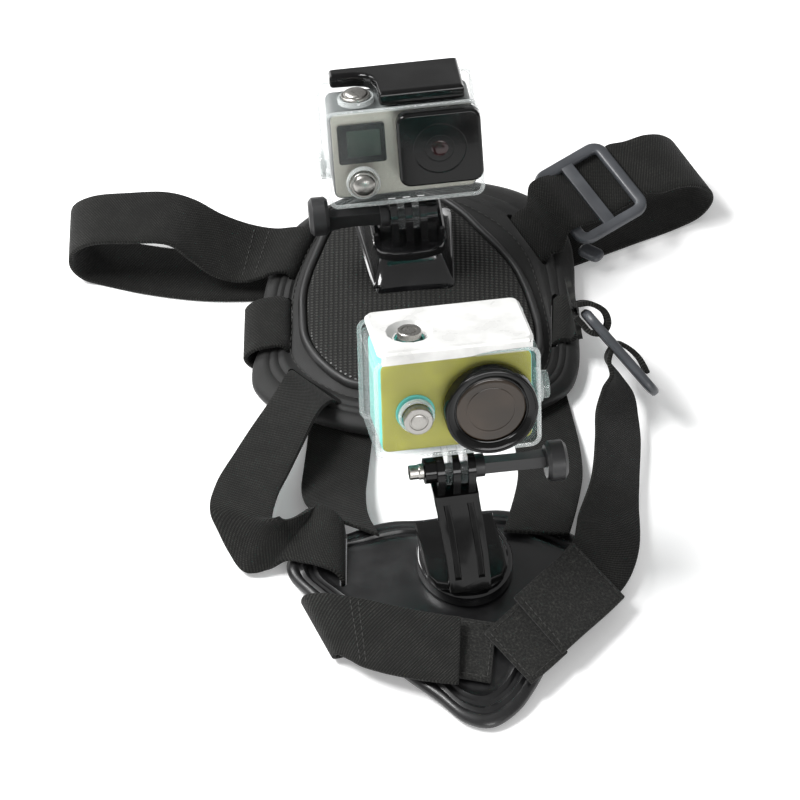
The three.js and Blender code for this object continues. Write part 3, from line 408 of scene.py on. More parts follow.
def dress(node, finish, slot, edge=0.4, segments=3, angle=30):
    """A copy of a solid with rounded edges, in its material. Edge is in mm."""
    source = frame["nodes"][node]
    obj = source.copy()
    obj.data = source.data.copy()
    obj.name = node.replace("_", "-") + "_finished"
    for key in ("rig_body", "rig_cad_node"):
        del obj[key]
    obj.parent = None
    obj.matrix_world = Matrix.Identity(4)
    bpy.context.scene.collection.objects.link(obj)
    weld(obj, 1e-5)
    only(obj)
    bpy.ops.object.mode_set(mode="EDIT")
    bpy.ops.mesh.select_all(action="SELECT")
    bpy.ops.mesh.dissolve_limited(angle_limit=math.radians(2))
    bpy.ops.object.mode_set(mode="OBJECT")
    modify(obj, "BEVEL", width=edge * MM, segments=segments, limit_method="ANGLE",
           angle_limit=math.radians(angle), use_clamp_overlap=True, loop_slide=True)
    smooth(obj, 38)
    modify(obj, "WEIGHTED_NORMAL", keep_sharp=True)
    return give(obj, finish, body_of(node), slot, node)


def catmull(a, b, c, d, t, centripetal):
    """Point between b and c, with equal or centripetal spacing."""
    if not centripetal:
        m0, m1 = (c - a) / 2, (d - b) / 2
    else:
        span = [max((q - p).length ** 0.5, 1e-4) for p, q in ((a, b), (b, c), (c, d))]
        m0 = ((b - a) / span[0] - (c - a) / (span[0] + span[1]) + (c - b) / span[1]) * span[1]
        m1 = ((c - b) / span[1] - (d - b) / (span[1] + span[2]) + (d - c) / span[2]) * span[1]
    k2 = (c - b) * 3 - m0 * 2 - m1
    k3 = (b - c) * 2 + m0 + m1
    return b + m0 * t + k2 * (t * t) + k3 * (t * t * t)


def on_curve(points, t, closed=False, centripetal=True):
    n = len(points)
    place = t * (n if closed else n - 1)
    i = min(int(place), n - 1 if closed else n - 2)
    if closed:
        four = [points[(i + k) % n] for k in (-1, 0, 1, 2)]
    else:
        first = points[i - 1] if i > 0 else points[0] * 2 - points[1]
        last = points[i + 2] if i + 2 < n else points[-1] * 2 - points[-2]
        four = [first, points[i], points[i + 1], last]
    return catmull(*four, place - i, centripetal)


def cut_across(heading, tilt):
    h, t = math.radians(heading), math.radians(tilt)
    return Vector((math.cos(h) * math.cos(t), math.sin(h) * math.cos(t), math.sin(t)))


def strap_frame(rows, share, step=1e-4):
    """Middle, side and up of a strap at a share of the way through its stations."""
    line = [Vector(row[:3]) for row in rows]
    cuts = [cut_across(*row[3:]) for row in rows]
    along = on_curve(line, min(1.0, share + step)) - on_curve(line, max(0.0, share - step))
    side = on_curve(cuts, share, centripetal=False).normalized()
    return on_curve(line, share), side, along.cross(side).normalized()


def ribbon(name, rows, width, thickness, finish, slot, node, steps):
    """A strap: a grid through its stations, thickened, with soft edges. UV is its width and run in metres."""
    cells = 8
    count = (len(rows) - 1) * steps
    frames = [strap_frame(rows, k / count) for k in range(count + 1)]
    runs = [0.0]
    for (p, _, _), (q, _, _) in zip(frames, frames[1:]):
        runs.append(runs[-1] + (q - p).length * MM)

    def place(i, j):
        middle, side, _ = frames[j]
        return (middle + side * (i / cells - 0.5) * width) * MM + ORIGIN
    obj = surface(name, cells, count, place)
    for loop in obj.data.uv_layers.active.data:
        loop.uv = ((loop.uv[0] - 0.5) * width * MM, runs[round(loop.uv[1] * count)])
    modify(obj, "SOLIDIFY", thickness=thickness, offset=0, use_even_offset=False)
    modify(obj, "BEVEL", width=thickness * 0.28, segments=2, limit_method="ANGLE",
           angle_limit=math.radians(60))
    smooth(obj, 50)
    give(obj, finish, body_of(node), slot, node)


def lathe(name, profile, matrix, segments=56):
    """A turned piece: profile holds radius and height in mm, from the axis back to the axis."""
    def place(i, j):
        a = TURN * i / segments
        r, h = profile[j]
        return matrix @ (Vector((r * math.cos(a), r * math.sin(a), h)) * MM)
    obj = surface(name, segments, len(profile) - 1, place, closed=True)
    smooth(obj, 32)
    return obj


# Signs of x and y in the four quarters, counted to the left
QUARTERS = ((1, 1), (-1, 1), (-1, -1), (1, -1))


def frame_ring(name, half, rise, corner, profile, matrix, steps=6):
    """A ridge that follows a rounded rectangle. Its profile is mm in from the edge and mm above the face."""
    def place(i, j):
        inset, height = profile[j % len(profile)]
        side, k = divmod(i, steps + 1)
        angle = math.pi / 2 * (side + k / steps)
        sx, sy = QUARTERS[side]
        r = max(corner - inset, 0.05)
        x = sx * (half - max(corner, inset + 0.05)) + r * math.cos(angle)
        y = sy * (rise - max(corner, inset + 0.05)) + r * math.sin(angle)
        return matrix @ (Vector((x, y, height)) * MM)
    return surface(name, 4 * (steps + 1), len(profile), place, closed=True)


def dome(radius, start, height, steps=10):
    """Profile points of a low dome that starts at its rim and ends on the axis."""
    found = []
    for k in range(steps + 1):
        a = math.pi / 2 * k / steps
        found.append((radius * math.cos(a), start + height * math.sin(a)))
    found[-1] = (0, start + height)
    return found


FACING = {
    "z": Matrix.Identity(4),
    "-y": Matrix.Rotation(math.pi / 2, 4, "X"),
    "y": Matrix.Rotation(-math.pi / 2, 4, "X"),
    "x": Matrix.Rotation(math.pi / 2, 4, "Y"),
    "-x": Matrix.Rotation(-math.pi / 2, 4, "Y"),
}


def mount_matrix(pivot, turn, pitched=True):
    """The frame at a pivot, with its camera's pitch or without."""
    yaw, roll, pitch = (math.radians(v) for v in turn)
    made = Matrix.Translation(pivot * MM + ORIGIN)
    made = made @ Matrix.Rotation(yaw, 4, "Z") @ Matrix.Rotation(-roll, 4, "Y")
    return made @ Matrix.Rotation(-pitch, 4, "X") if pitched else made


def at(matrix, place, facing="z"):
    return matrix @ Matrix.Translation(Vector(place) * MM) @ FACING[facing]


def rounded_plate(name, width, height, radius, depth, matrix, bevel):
    """A plate with round corners: a plane with bevelled corners, extruded, with softened edges."""
    bpy.ops.object.select_all(action="DESELECT")
    bpy.ops.mesh.primitive_plane_add(size=1)
    obj = bpy.context.object
    obj.name = name
    for corner in obj.data.vertices:
        corner.co = Vector((corner.co.x * width, corner.co.y * height, 0)) * MM
    bpy.ops.object.mode_set(mode="EDIT")
    bpy.ops.mesh.select_all(action="SELECT")
    bpy.ops.mesh.bevel(offset=radius * MM, segments=8, affect="VERTICES")
    bpy.ops.mesh.extrude_region_move(TRANSFORM_OT_translate={"value": (0, 0, depth * MM)})
    bpy.ops.mesh.select_all(action="SELECT")
    bpy.ops.mesh.normals_make_consistent(inside=False)
    bpy.ops.object.mode_set(mode="OBJECT")
    if bevel:
        modify(obj, "BEVEL", width=bevel * MM, segments=3, limit_method="ANGLE", angle_limit=math.radians(50))
    obj.data.transform(matrix)
    smooth(obj, 40)
    return obj


# Pads, straps and sliders
PAD_CENTRE = (7, 48)
SHIELD_CENTRE = (22, -116)
PAD_THICKNESS = 5.4
SHIELD_THICKNESS = 3.4
SLOT_WIDTH = 2.7
SLOT_CUT_DEPTH = 44
TAB_THICKNESS = 1.4
SLIDER_BAR = 3.4
SLIDER_THICKNESS = 2.6
SOLID_WEB = 1.8
CLEARANCE = 0.35

# Outlines seen from above: x, y
BACK_EDGE = [
    (-17, -26), (-34, -19), (-51, -9), (-59.5, 3), (-60, 14), (-57, 25), (-57, 38), (-56.5, 52),
    (-54, 68), (-50, 84), (-41, 97), (-25, 109), (-6, 117), (14, 120), (35, 120), (53, 115), (65, 104),
    (71, 89), (72.5, 74), (72.5, 58), (73, 42), (73.5, 28), (73, 14), (69, 1), (58, -10), (42, -20),
    (24, -27), (3, -29),
]
MESH_EDGE = [
    (-18, -3), (-24, 1.5), (-29.5, 8), (-34, 15.5), (-37, 24), (-38, 36), (-38, 48), (-36, 60),
    (-32.6, 72), (-29.2, 83), (-25, 93), (-17, 101), (-5, 105), (7, 106), (17, 102), (25, 94), (32, 84),
    (40, 73), (46, 63), (50, 52), (53, 40), (55, 28), (54.5, 15), (49, 4), (40, -3), (26, -5.5), (8, -6),
]
CHEST_EDGE = [
    (-22, -81), (-14, -77.5), (-4, -74.5), (8, -74), (20, -71.5), (30, -69), (40, -68), (49, -70),
    (59, -75), (69, -81), (77, -87), (80, -95), (77, -107), (70, -122), (63, -137), (57, -150),
    (52, -161), (45, -172), (35, -179), (25, -177), (14, -167), (2, -156.5), (-12, -142), (-26, -126),
    (-37, -112), (-43.5, -102), (-44, -93), (-36, -86),
]
# Strap slots: x, y, heading in degrees, length
BACK_SLOTS = [
    (-40, 75, -108, 33), (-45.6, 33, -90, 31), (-34.5, -3.5, -45, 30), (53, 84, -63, 33), (63.5, 36, -92, 31),
]
CHEST_SLOTS = [(-22.2, -96, 90, 30)]
# Strap stations: x, y, z of the middle, heading and tilt of the cut in degrees
REAR_LEFT = [
    (-40, 75, 5.6, -108, 0), (-40.2, 75, 10, -108, 0), (-43.2, 75.2, 13, -108, 0),
    (-48.6, 75.2, 12.6, -107, 0), (-55.4, 75.2, 10.8, -104, -4), (-64.4, 75.6, 10.6, -101, -13),
    (-76.1, 76.4, 14.8, -97, -19), (-86.1, 79, 20.8, -93, -16), (-96, 81.5, 24.8, -88, -5),
    (-113.1, 82.1, 24.6, -89, -2), (-128.3, 82.6, 22.6, -89, 0), (-135.9, 83.6, 16.5, -89, 0),
    (-136.6, 83.6, 8.5, -89, 0), (-132, 83, 2.8, -89, 0), (-124.7, 81.6, 1.05, -88, 0),
    (-106, 76, 1.05, -88, 0), (-82, 72, 1.05, -89, 0), (-58, 72, 1.05, -92, 0), (-38, 72.6, 1.4, -98, 0),
]
MID_LEFT = [
    (-45.6, 33, 5.2, -90, 0), (-45.7, 33, 9.6, -90, 0), (-48.4, 33, 12.4, -90, 0),
    (-53.6, 32.9, 12, -90, 0), (-59.8, 32.6, 10, -90, 0), (-63.2, 32.2, 6, -90, 0),
    (-61, 31.6, 2.1, -89, 0), (-54, 31, 1.05, -88, 0), (-42, 30, 1.05, -86, 0),
]
LOWER_LEFT = [
    (-34.5, -3.5, 6, -45, 0), (-34.7, -3.8, 10.6, -45, 0), (-36.6, -6.4, 13.4, -46, 6),
    (-39.6, -13, 15.2, -46, 14), (-43.6, -23, 16.2, -43, 17), (-49, -36, 15.8, -37, 13),
    (-55, -51, 15.4, -30, 9), (-60.6, -66, 15.6, -20, 6), (-62.4, -80.5, 16.2, -17, 6),
    (-60, -84.1, 14.8, -11, 25), (-56.9, -87.3, 11.8, 11, 39), (-53.5, -90.5, 9.6, 41, 36),
    (-49.4, -90.3, 9.4, 48, 34), (-44.7, -88.3, 10, 53, 31), (-39.3, -85.3, 11.2, 62, 17),
    (-34, -87.9, 13.2, 70, 13), (-28.1, -91.7, 14.4, 79, 9), (-24.1, -94.2, 13, 86, 5),
    (-22.3, -96, 9.8, 90, 3), (-22.2, -96, 4.8, 90, 0),
]
NECK_LEFT = [
    (-22, 6, 3, 0, 0), (-23.4, -12, 3, 0, 0), (-24.4, -28, 3.2, -1, 0), (-25.6, -44, 4.2, -4, 0),
    (-26.4, -59, 6.8, -8, 0), (-24.6, -72, 9.8, -16, 0), (-19.6, -81, 11.2, -26, 0),
]
NECK_RIGHT = [
    (54, 6, 1.15, 4, 0), (57, -12, 1.15, 4, 0), (59.4, -30, 2.6, 4, 0), (60, -48, 5.6, 3, 0),
    (58.4, -62, 8.6, 1, 0), (56.2, -74, 10.4, -2, 0), (53.6, -85, 10.9, -4, 0),
]
BAND_LEFT = [
    (-12, -119, 1.05, -66, 0), (-19, -122.6, 1.05, -66, 0), (-26.4, -126.6, 1.15, -66, 0),
    (-31.6, -129.6, 3.4, -66, -2), (-30.6, -130.4, 7.2, -66, -6), (-25.2, -133.2, 9.6, -71, -12),
    (-17, -137.4, 11, -81, -14), (-6, -141.8, 12, -88, -13), (4, -145.2, 12.6, -90, -11),
    (14.6, -148, 13.1, -91, -9), (23, -149.4, 13.3, -92, -8),
]
BAND_RIGHT = [
    (77.4, -106.6, 12.8, -44, -20), (71.6, -114.6, 13.2, -47, -18), (62.4, -125.8, 13.6, -49, -16),
    (53.3, -136.7, 13.6, -50, -15),
]
TAB_LEFT = [
    (14, -142.8, 9.9, -92, -4), (22, -144.6, 10, -93, -4), (29.5, -146.2, 9.9, -94, -4),
    (36, -147.4, 9.7, -95, -4),
]
TAB_RIGHT = [
    (55.6, -134.2, 10.5, -50, -12), (48.6, -142.6, 10.5, -50, -11), (41.4, -150.8, 10.4, -51, -9),
]
REAR_RIGHT_START = [
    (53, 84, 5.4, -63, 0), (53.2, 84.1, 9.8, -63, 0), (56, 85.6, 13, -62, 0), (60.4, 87.2, 14.4, -60, -4),
]
REAR_RIGHT_END = [
    (101.6, 112.4, 25.6, -57, -15), (110, 115.4, 26.2, -57, -16), (117.4, 118.4, 23.6, -57, -15),
    (122.8, 121, 17.4, -58, -11), (123.8, 121.8, 9.4, -59, -5), (119.6, 119.4, 3, -61, 0),
    (110, 114.4, 1.05, -63, 0), (92, 105, 1.05, -64, 0), (72, 94.4, 1.05, -64, 0),
    (55, 85.6, 1.05, -63, 0),
]
MID_RIGHT_START = [
    (63.5, 36, 4.8, -92, 0), (63.6, 36, 9, -92, 0), (66.4, 36, 11.6, -92, 0), (70.4, 35, 11.8, -90, 4),
    (72.4, 32, 16.4, -89, 18), (71, 26, 24.6, -88, 33),
]
HANGING_END = [
    (86.9, -4.2, 18.2, 78, -44), (87.9, -11, 16, 50, -43), (87.2, -22, 14, 37, -37),
    (87.2, -35.1, 12.8, 36, -32), (85.6, -54.9, 11.4, 34, -29), (83, -71, 10.2, 20, -23),
    (81.6, -86.9, 9.6, -12, -22), (78.4, -99, 9.6, -34, -20), (71.6, -110, 10, -44, -18),
    (66, -117, 10.7, -46, -16),
]
# Stations in a slider's own directions: run, rise
MID_RIGHT_LOOP = [
    (-25.9, 0.2), (-23, -3.7), (-16.6, -6.1), (-12, -4), (-10.8, 0.2), (-13.8, 3.6), (-18.4, 3.9),
    (-22.6, 4),
]
HANGING_LOOP = [
    (13.4, -2.9), (6.8, -4.3), (0.9, -3.7), (-3, -1.8), (-3.1, 1.8), (-0.8, 5.6),
]
# Sliders: middle, heading and tilt of the bars, direction of the run, sizes
REAR_SLIDER = {
    "middle": (79.6, 99.8, 22.4), "heading": -57, "tilt": -11, "run": (26.8, 22.4, 8),
    "length": 41, "width": 35, "narrow": 0.45,
}
SIDE_SLIDER = {
    "middle": (88.7, 2.9, 24.4), "heading": 90, "tilt": -43, "run": (0.657, -0.532, -0.532),
    "length": 36, "width": 44, "narrow": 0.3,
}

# Share of the way from the mesh panel to the pad's edge, rise in mm
PAD_PROFILE = [
    (0.0, 0.1), (0.24, 0.1), (0.3, -0.75), (0.37, -0.75), (0.43, 0.25), (0.5, 0.3), (0.55, -0.35),
    (0.6, 0.3), (0.66, 0.3), (0.7, -0.35), (0.75, 0.25), (0.82, 0.2), (0.9, -0.15), (0.97, -0.9),
    (1.0, -1.9),
]
# Distance in from the chest pad's edge and rise, both in mm
SHIELD_PROFILE = [
    (16, 0.0), (13.4, 0.05), (12.4, 0.55), (11.4, 0.1), (10.6, -0.75), (8.8, -0.85), (7.9, 0.35),
    (6.8, 0.6), (5.9, 0.1), (5.1, -0.25), (4.2, 0.3), (3.0, 0.35), (1.6, 0.0), (0.5, -0.8), (0.0, -1.7),
]


def back_height(x, y):
    """Height of the back pad's saddle: a crest of 15.5 mm that falls to the sides, and less to the ends."""
    across = (x - PAD_CENTRE[0]) / 67
    along = (y - PAD_CENTRE[1]) / 72
    return 15.5 - 7.4 * across ** 2 - 3 * along ** 2


def chest_height(x, y):
    """Height of the chest pad's shallow dome, which falls faster to its nose."""
    across = (x - SHIELD_CENTRE[0]) / 62
    along = (y - SHIELD_CENTRE[1]) / 62
    steeper = 1.45 if y < SHIELD_CENTRE[1] else 1
    return 9.8 - 3.4 * (across ** 2 + steeper * along ** 2)


def outline(points, count):
    """Evenly spaced points of the closed smooth curve through the given ones."""
    many = 900
    base = [Vector((x, y)) for x, y in points]
    fine = [on_curve(base, k / many, closed=True) for k in range(many)]
    runs = [0.0]
    for k in range(many):
        runs.append(runs[-1] + (fine[(k + 1) % many] - fine[k]).length)
    found = []
    k = 0
    for step in range(count):
        target = runs[-1] * step / count
        while runs[k + 1] < target:
            k += 1
        part = (target - runs[k]) / (runs[k + 1] - runs[k])
        found.append(fine[k].lerp(fine[(k + 1) % many], part))
    return found


def reach(points, centre):
    """Distance from a centre to an outline as a function of direction."""
    table = sorted((math.atan2(p.y - centre[1], p.x - centre[0]), math.dist(p, centre)) for p in points)
    table = [(table[-1][0] - TURN, table[-1][1])] + table + [(table[0][0] + TURN, table[0][1])]

    def distance(angle):
        for (a, r), (b, s) in zip(table, table[1:]):
            if a <= angle <= b:
                return r + (s - r) * (angle - a) / max(b - a, 1e-9)
        return table[0][1]
    return distance


def slot_cut(obj, slots):
    """Cuts rounded strap slots through a pad."""
    for x, y, heading, length in slots:
        turn = Matrix.Translation(Vector((x, y, -12)) * MM + ORIGIN)
        turn = turn @ Matrix.Rotation(math.radians(heading), 4, "Z")
        cutter = rounded_plate("cutter", length, SLOT_WIDTH, SLOT_WIDTH * 0.49, SLOT_CUT_DEPTH, turn, bevel=0)
        modify(obj, "BOOLEAN", object=cutter, operation="DIFFERENCE", solver="EXACT")
        bpy.data.objects.remove(cutter)


# A pad's ring lies at a share of the inner outline, at a share of the way out, or mm in from the edge
MIDDLE, RIBS, RIM = range(3)


def pad(name, edge, centre, height, inner, profile, thickness):
    """A moulded pad: rings from its middle over ribs and rim to the underside. Heights are off its face."""
    n = len(edge)
    rims = []
    for p in edge:
        angle = math.atan2(p.y - centre[1], p.x - centre[0])
        rims.append((math.cos(angle), math.sin(angle), math.dist(p, centre), inner(angle)))
    rings = [(MIDDLE, 0, 0), (MIDDLE, 0.35, 0), (MIDDLE, 0.7, 0)]
    rings += [(RIBS, q, rise) for q, rise in profile]
    rings += [
        (RIBS, 1.0, -thickness + 1.4), (RIM, 0.4, -thickness + 0.4), (RIM, 1.6, -thickness),
        (MIDDLE, 0.6, -thickness), (MIDDLE, 0, -thickness),
    ]

    def place(i, j):
        c, s, far, near = rims[i]
        kind, q, rise = rings[j]
        if kind == MIDDLE:
            r = near * q
        elif kind == RIBS:
            r = near + (far - near) * q
        else:
            r = far - q
        x, y = centre[0] + c * r, centre[1] + s * r
        return Vector((x, y, height(x, y) + rise)) * MM + ORIGIN
    return surface(name, n, len(rings) - 1, place, closed=True)


def panel(name, edge, centre, height, foot, top):
    """A sheet with a soft edge that follows the pad under it."""
    rings = [(share, top) for share in (0, 0.3, 0.6, 0.85, 0.97)]
    rings += [(0.99, top - 0.15), (1, top - 0.5), (1, foot), (0.5, foot), (0, foot)]

    def place(i, j):
        p = edge[i]
        x = centre[0] + (p.x - centre[0]) * rings[j][0]
        y = centre[1] + (p.y - centre[1]) * rings[j][0]
        return Vector((x, y, height(x, y) + rings[j][1])) * MM + ORIGIN
    return surface(name, len(edge), len(rings) - 1, place, closed=True)


def outward(edge, i):
    along = (edge[(i + 1) % len(edge)] - edge[i - 1]).normalized()
    return Vector((along.y, -along.x)) * (1 if turns_left(edge) else -1)


def area_of(edge):
    """Area inside an outline, above 0 where it runs to the left."""
    return sum(p.x * q.y - q.x * p.y for p, q in zip(edge, edge[1:] + edge[:1])) / 2


def turns_left(edge):
    return area_of(edge) > 0


def piping(name, edge, height, start, width, foot, rise):
    """A cord-filled ridge along an outline: a round top on a flat foot."""
    sides = 12
    normals = [outward(edge, i) for i in range(len(edge))]

    def place(i, j):
        a = math.pi * min(j, sides) / sides
        d = start + width / 2 - math.cos(a) * width / 2 if j <= sides else start
        p = edge[i] + normals[i] * d
        z = foot + (math.sin(a) ** 0.8 * rise if 0 < j < sides else 0)
        return Vector((p.x, p.y, height(p.x, p.y) + z)) * MM + ORIGIN
    return surface(name, len(edge), sides + 1, place, closed=True)


def stitches(name, points, length, gap, radius, slot):
    """Thread that dips in and out along a line of points in metres."""
    runs = [0.0]
    for p, q in zip(points, points[1:]):
        runs.append(runs[-1] + (q - p).length)

    def spot(run):
        k = next((i for i in range(len(runs) - 1) if runs[i + 1] >= run), len(runs) - 2)
        return points[k].lerp(points[k + 1], (run - runs[k]) / max(runs[k + 1] - runs[k], 1e-9))
    bpy.ops.object.select_all(action="DESELECT")
    bpy.ops.mesh.primitive_uv_sphere_add(segments=8, ring_count=5, radius=1)
    first = bpy.context.object
    first.name = name
    base = first.data.copy()
    copies = [first]
    run = gap / 2
    while run + length < runs[-1]:
        a, b = spot(run), spot(run + length)
        turn = (b - a).to_track_quat("Z", "Y").to_matrix().to_4x4()
        reach_of_thread = Matrix.Diagonal((radius, radius, (b - a).length * 0.55, 1))
        fit = Matrix.Translation((a + b) / 2) @ turn @ reach_of_thread
        if run == gap / 2:
            obj = first
        else:
            obj = bpy.data.objects.new(name, base.copy())
            bpy.context.scene.collection.objects.link(obj)
            copies.append(obj)
        obj.data.transform(fit)
        run += length + gap
    bpy.ops.object.select_all(action="DESELECT")
    for obj in copies:
        obj.select_set(True)
    bpy.context.view_layer.objects.active = first
    if len(copies) > 1:
        bpy.ops.object.join()
    smooth(first, 60)
    give(first, look("thread"), "harness", slot)


# Looks

looks = {}


def look(name):
    """The material of that name, made when it is first needed."""
    if name not in looks:
        c = bpy.context.scene.harness_colours
        s = bpy.context.scene.harness_sizes
        looks[name] = {
            # Webbing and band: the paler yarn colour on their rib crowns is partly a painted highlight
            "webbing": lambda: webbing("webbing_elastic_twill", s.twill, tuple(c.webbing), tuple(c.yarn)),
            "band": lambda: webbing("webbing_wide_twill", s.twill * 0.95, tuple(c.webbing), srgb("#3d3d3a"),
                                    slope=0.8),
            "loop": lambda: napped("hook_and_loop_cloth_matted", srgb("#0f0f0e"), srgb("#343431")),
            "pad": lambda: foam("pad_foam_moulded_knit_face", srgb("#121212"), srgb("#1d1d1c")),
            # Mesh: the paler strand colour on the knots is partly a painted sheen
            "mesh": lambda: knotted("spacer_mesh_knotted", s.knot, srgb("#0b0b0a"), srgb("#31312e")),
            "trim": lambda: moulded("piping_coated_cloth", srgb("#1e1e1e"), 0.5, 0.00004, 0.0009, 0.2),
            "shield": lambda: moulded("shield_rubber_polished", srgb("#101011"), 0.36, 0.000012, 0.0016, 0.16,
                                      Coat_Weight=0.2, Coat_Roughness=0.15),
            "gloss": lambda: moulded("mount_plastic_polished", srgb("#0c0c0d"), 0.16, 0.000004, 0.002, 0.08,
                                     Coat_Weight=0.5, Coat_Roughness=0.05),
            "dark": lambda: moulded("camera_plastic_deep_black", srgb("#0a0a0a"), 0.14, 0.000003, 0.002, 0.06,
                                    Specular_IOR_Level=0.22, Coat_Weight=0.08, Coat_Roughness=0.04),
            "black": lambda: moulded("knob_plastic_fine_grain", srgb("#171718"), 0.45, 0.00002, 0.0006, 0.12),
            "satin": lambda: moulded("slider_plastic_satin", srgb("#3b3d41"), 0.4, 0.00002, 0.0007, 0.14),
            "clear": lambda: clear("housing_polycarbonate_clear", srgb("#c4cecd"), 0.035),
            # Near-white clear finish of the housing ridges and button collars: a painted highlight along
            # their edges
            "rim": lambda: clear("housing_polycarbonate_edge_highlight", srgb("#eef3f2"), 0.3),
            "collar": lambda: clear("housing_polycarbonate_thick", srgb("#d4dcda"), 0.22),
            "silver": lambda: painted("camera_paint_silver", tuple(c.silver)),
            "shell": lambda: moulded("camera_shell_grey", srgb("#5d5f5f"), 0.4, 0.00001, 0.0007, 0.1),
            "steel": lambda: turned_steel("button_steel_turned"),
            "screen": lambda: display("display_dark_green", srgb("#222e27"), srgb("#2c3930")),
            "white": lambda: moulded("lid_plastic_white", srgb("#cdcdcb"), 0.3, 0.000006, 0.001, 0.1,
                                     Coat_Weight=0.3, Coat_Roughness=0.1),
            "olive": lambda: moulded("camera_shell_olive", tuple(c.face), 0.5, 0.00001, 0.0007, 0.1),
            "sides": lambda: moulded("camera_shell_turquoise", tuple(c.sides), 0.42, 0.00001, 0.0007, 0.1),
            "glass": lambda: lens("lens_glass_brown", srgb("#2c241c"), srgb("#3a2f25")),
            "lens": lambda: lens("lens_glass_dark_red", srgb("#0d0708"), srgb("#4a1618")),
            "thread": lambda: moulded("thread_polyester", srgb("#262624"), 0.6, 0.00003, 0.0003),
        }[name]()
    return looks[name]


# Operators


def slider_axes(row):
    """Along the bars, along the run, and up off the face."""
    side = cut_across(row["heading"], row["tilt"])
    along = Vector(row["run"])
    along = (along - side * along.dot(side)).normalized()
    return side, along, side.cross(along)


def through_slider(row, steps, aside=0.0):
    """Stations given as run and rise in a slider's own directions, and moved aside by a little play."""
    side, along, up = slider_axes(row)
    found = []
    for run, rise in steps:
        p = Vector(row["middle"]) + along * run + up * rise + side * aside
        found.append((*p, row["heading"], row["tilt"]))
    return found


def middle_bar(row):
    """Run of a slider's middle bar, from the slider's middle."""
    return -row["width"] / 2 + 1.5 * SLIDER_BAR + (row["width"] - 3 * SLIDER_BAR) * row["narrow"]


def rear_thread():
    """Over the first bar of the rear slider and under its middle and last ones."""
    lift = SLIDER_THICKNESS / 2 + SOLID_WEB / 2 + CLEARANCE + 0.5
    first = (SLIDER_BAR - REAR_SLIDER["width"]) / 2
    middle = middle_bar(REAR_SLIDER)
    last = -first
    return [
        (first - 3.4, lift * 0.5), (first, lift), ((first + middle) / 2, 0), (middle, -lift),
        ((middle + last) / 2, -lift), (last, -lift), (last + 4, -lift * 0.7),
    ]


def strap_rows():
    """Stations, width in mm and look of each strap."""
    threaded = through_slider(REAR_SLIDER, rear_thread(), -2.4)
    return {
        "strap_rear_left": (REAR_LEFT, 29, "webbing"),
        "strap_rear_right": (REAR_RIGHT_START + threaded + REAR_RIGHT_END, 29, "webbing"),
        "strap_mid_left": (MID_LEFT, 29, "webbing"),
        "strap_mid_right": (MID_RIGHT_START + through_slider(SIDE_SLIDER, MID_RIGHT_LOOP), 26, "webbing"),
        "strap_lower_left": (LOWER_LEFT, 26, "webbing"),
        "strap_neck_left": (NECK_LEFT, 26, "webbing"),
        "strap_neck_right": (NECK_RIGHT, 26, "webbing"),
        "strap_hanging": (through_slider(SIDE_SLIDER, HANGING_LOOP) + HANGING_END, 27, "webbing"),
        "band_left": (BAND_LEFT, 31, "band"),
        "band_right": (BAND_RIGHT, 30, "loop"),
        "tab_left": (TAB_LEFT, 29, "loop"),
        "tab_right": (TAB_RIGHT, 29, "loop"),
    }


def seam_line(rows, width, start, end, lift):
    """Points just off a strap's upper face. Start and end are shares of its run and of its half width."""
    count = 40
    up_first = strap_frame(rows, start[0], 1e-3)[2]
    lift = lift if up_first.z > 0 else -lift
    found = []
    for k in range(count + 1):
        run = start[0] + (end[0] - start[0]) * k / count
        across = start[1] + (end[1] - start[1]) * k / count
        middle, side, up = strap_frame(rows, run, 5e-4)
        found.append((middle + side * (across * width / 2) + up * lift) * MM + ORIGIN)
    return found


class HARNESS_OT_straps(bpy.types.Operator):
    """Webbing straps, belly bands and hook-and-loop tabs"""
    bl_idname = "harness.straps"
    bl_label = "Straps"

    def execute(self, context):
        web = context.scene.harness_sizes.web
        for name, (rows, width, kind) in strap_rows().items():
            thin = name.startswith("tab")
            piece = name.replace("_", "-") + ("_cloth" if thin else "_webbing")
            slot = "loop_cloth" if kind == "loop" else "webbing"
            doubled = {"strap_mid_right": 0.0021, "strap_hanging": 0.0019}
            depth = doubled.get(name, TAB_THICKNESS * MM if thin else web)
            ribbon(piece, rows, width, depth, look(kind), slot, name, steps=10 if thin else 8)
        return {"FINISHED"}


class HARNESS_OT_back_pad(bpy.types.Operator):
    """Moulded back pad with its mesh panel, piping and edge tab"""
    bl_idname = "harness.back_pad"
    bl_label = "Back pad"

    def execute(self, context):
        edge = outline(BACK_EDGE, 260)
        inner_edge = outline(MESH_EDGE, 220)
        inner = reach(inner_edge, PAD_CENTRE)
        obj = pad("back_pad_foam", edge, PAD_CENTRE, back_height, inner, PAD_PROFILE, PAD_THICKNESS)
        slot_cut(obj, BACK_SLOTS)
        smooth(obj, 40)
        give(obj, look("pad"), "harness", "pad", "back_pad")
        mesh = panel("mesh_panel", inner_edge, PAD_CENTRE, back_height, foot=0.7, top=2.1)
        smooth(mesh, 50)
        give(mesh, look("mesh"), "harness", "mesh", "back_mesh")
        trim = piping("mesh_piping", inner_edge, back_height, start=CLEARANCE, width=3.4, foot=0.75, rise=2.5)
        smooth(trim, 50)
        give(trim, look("trim"), "harness", "trim", "back_trim")
        dress("pad_tab", look("satin"), "satin_grey", edge=0.5)
        return {"FINISHED"}


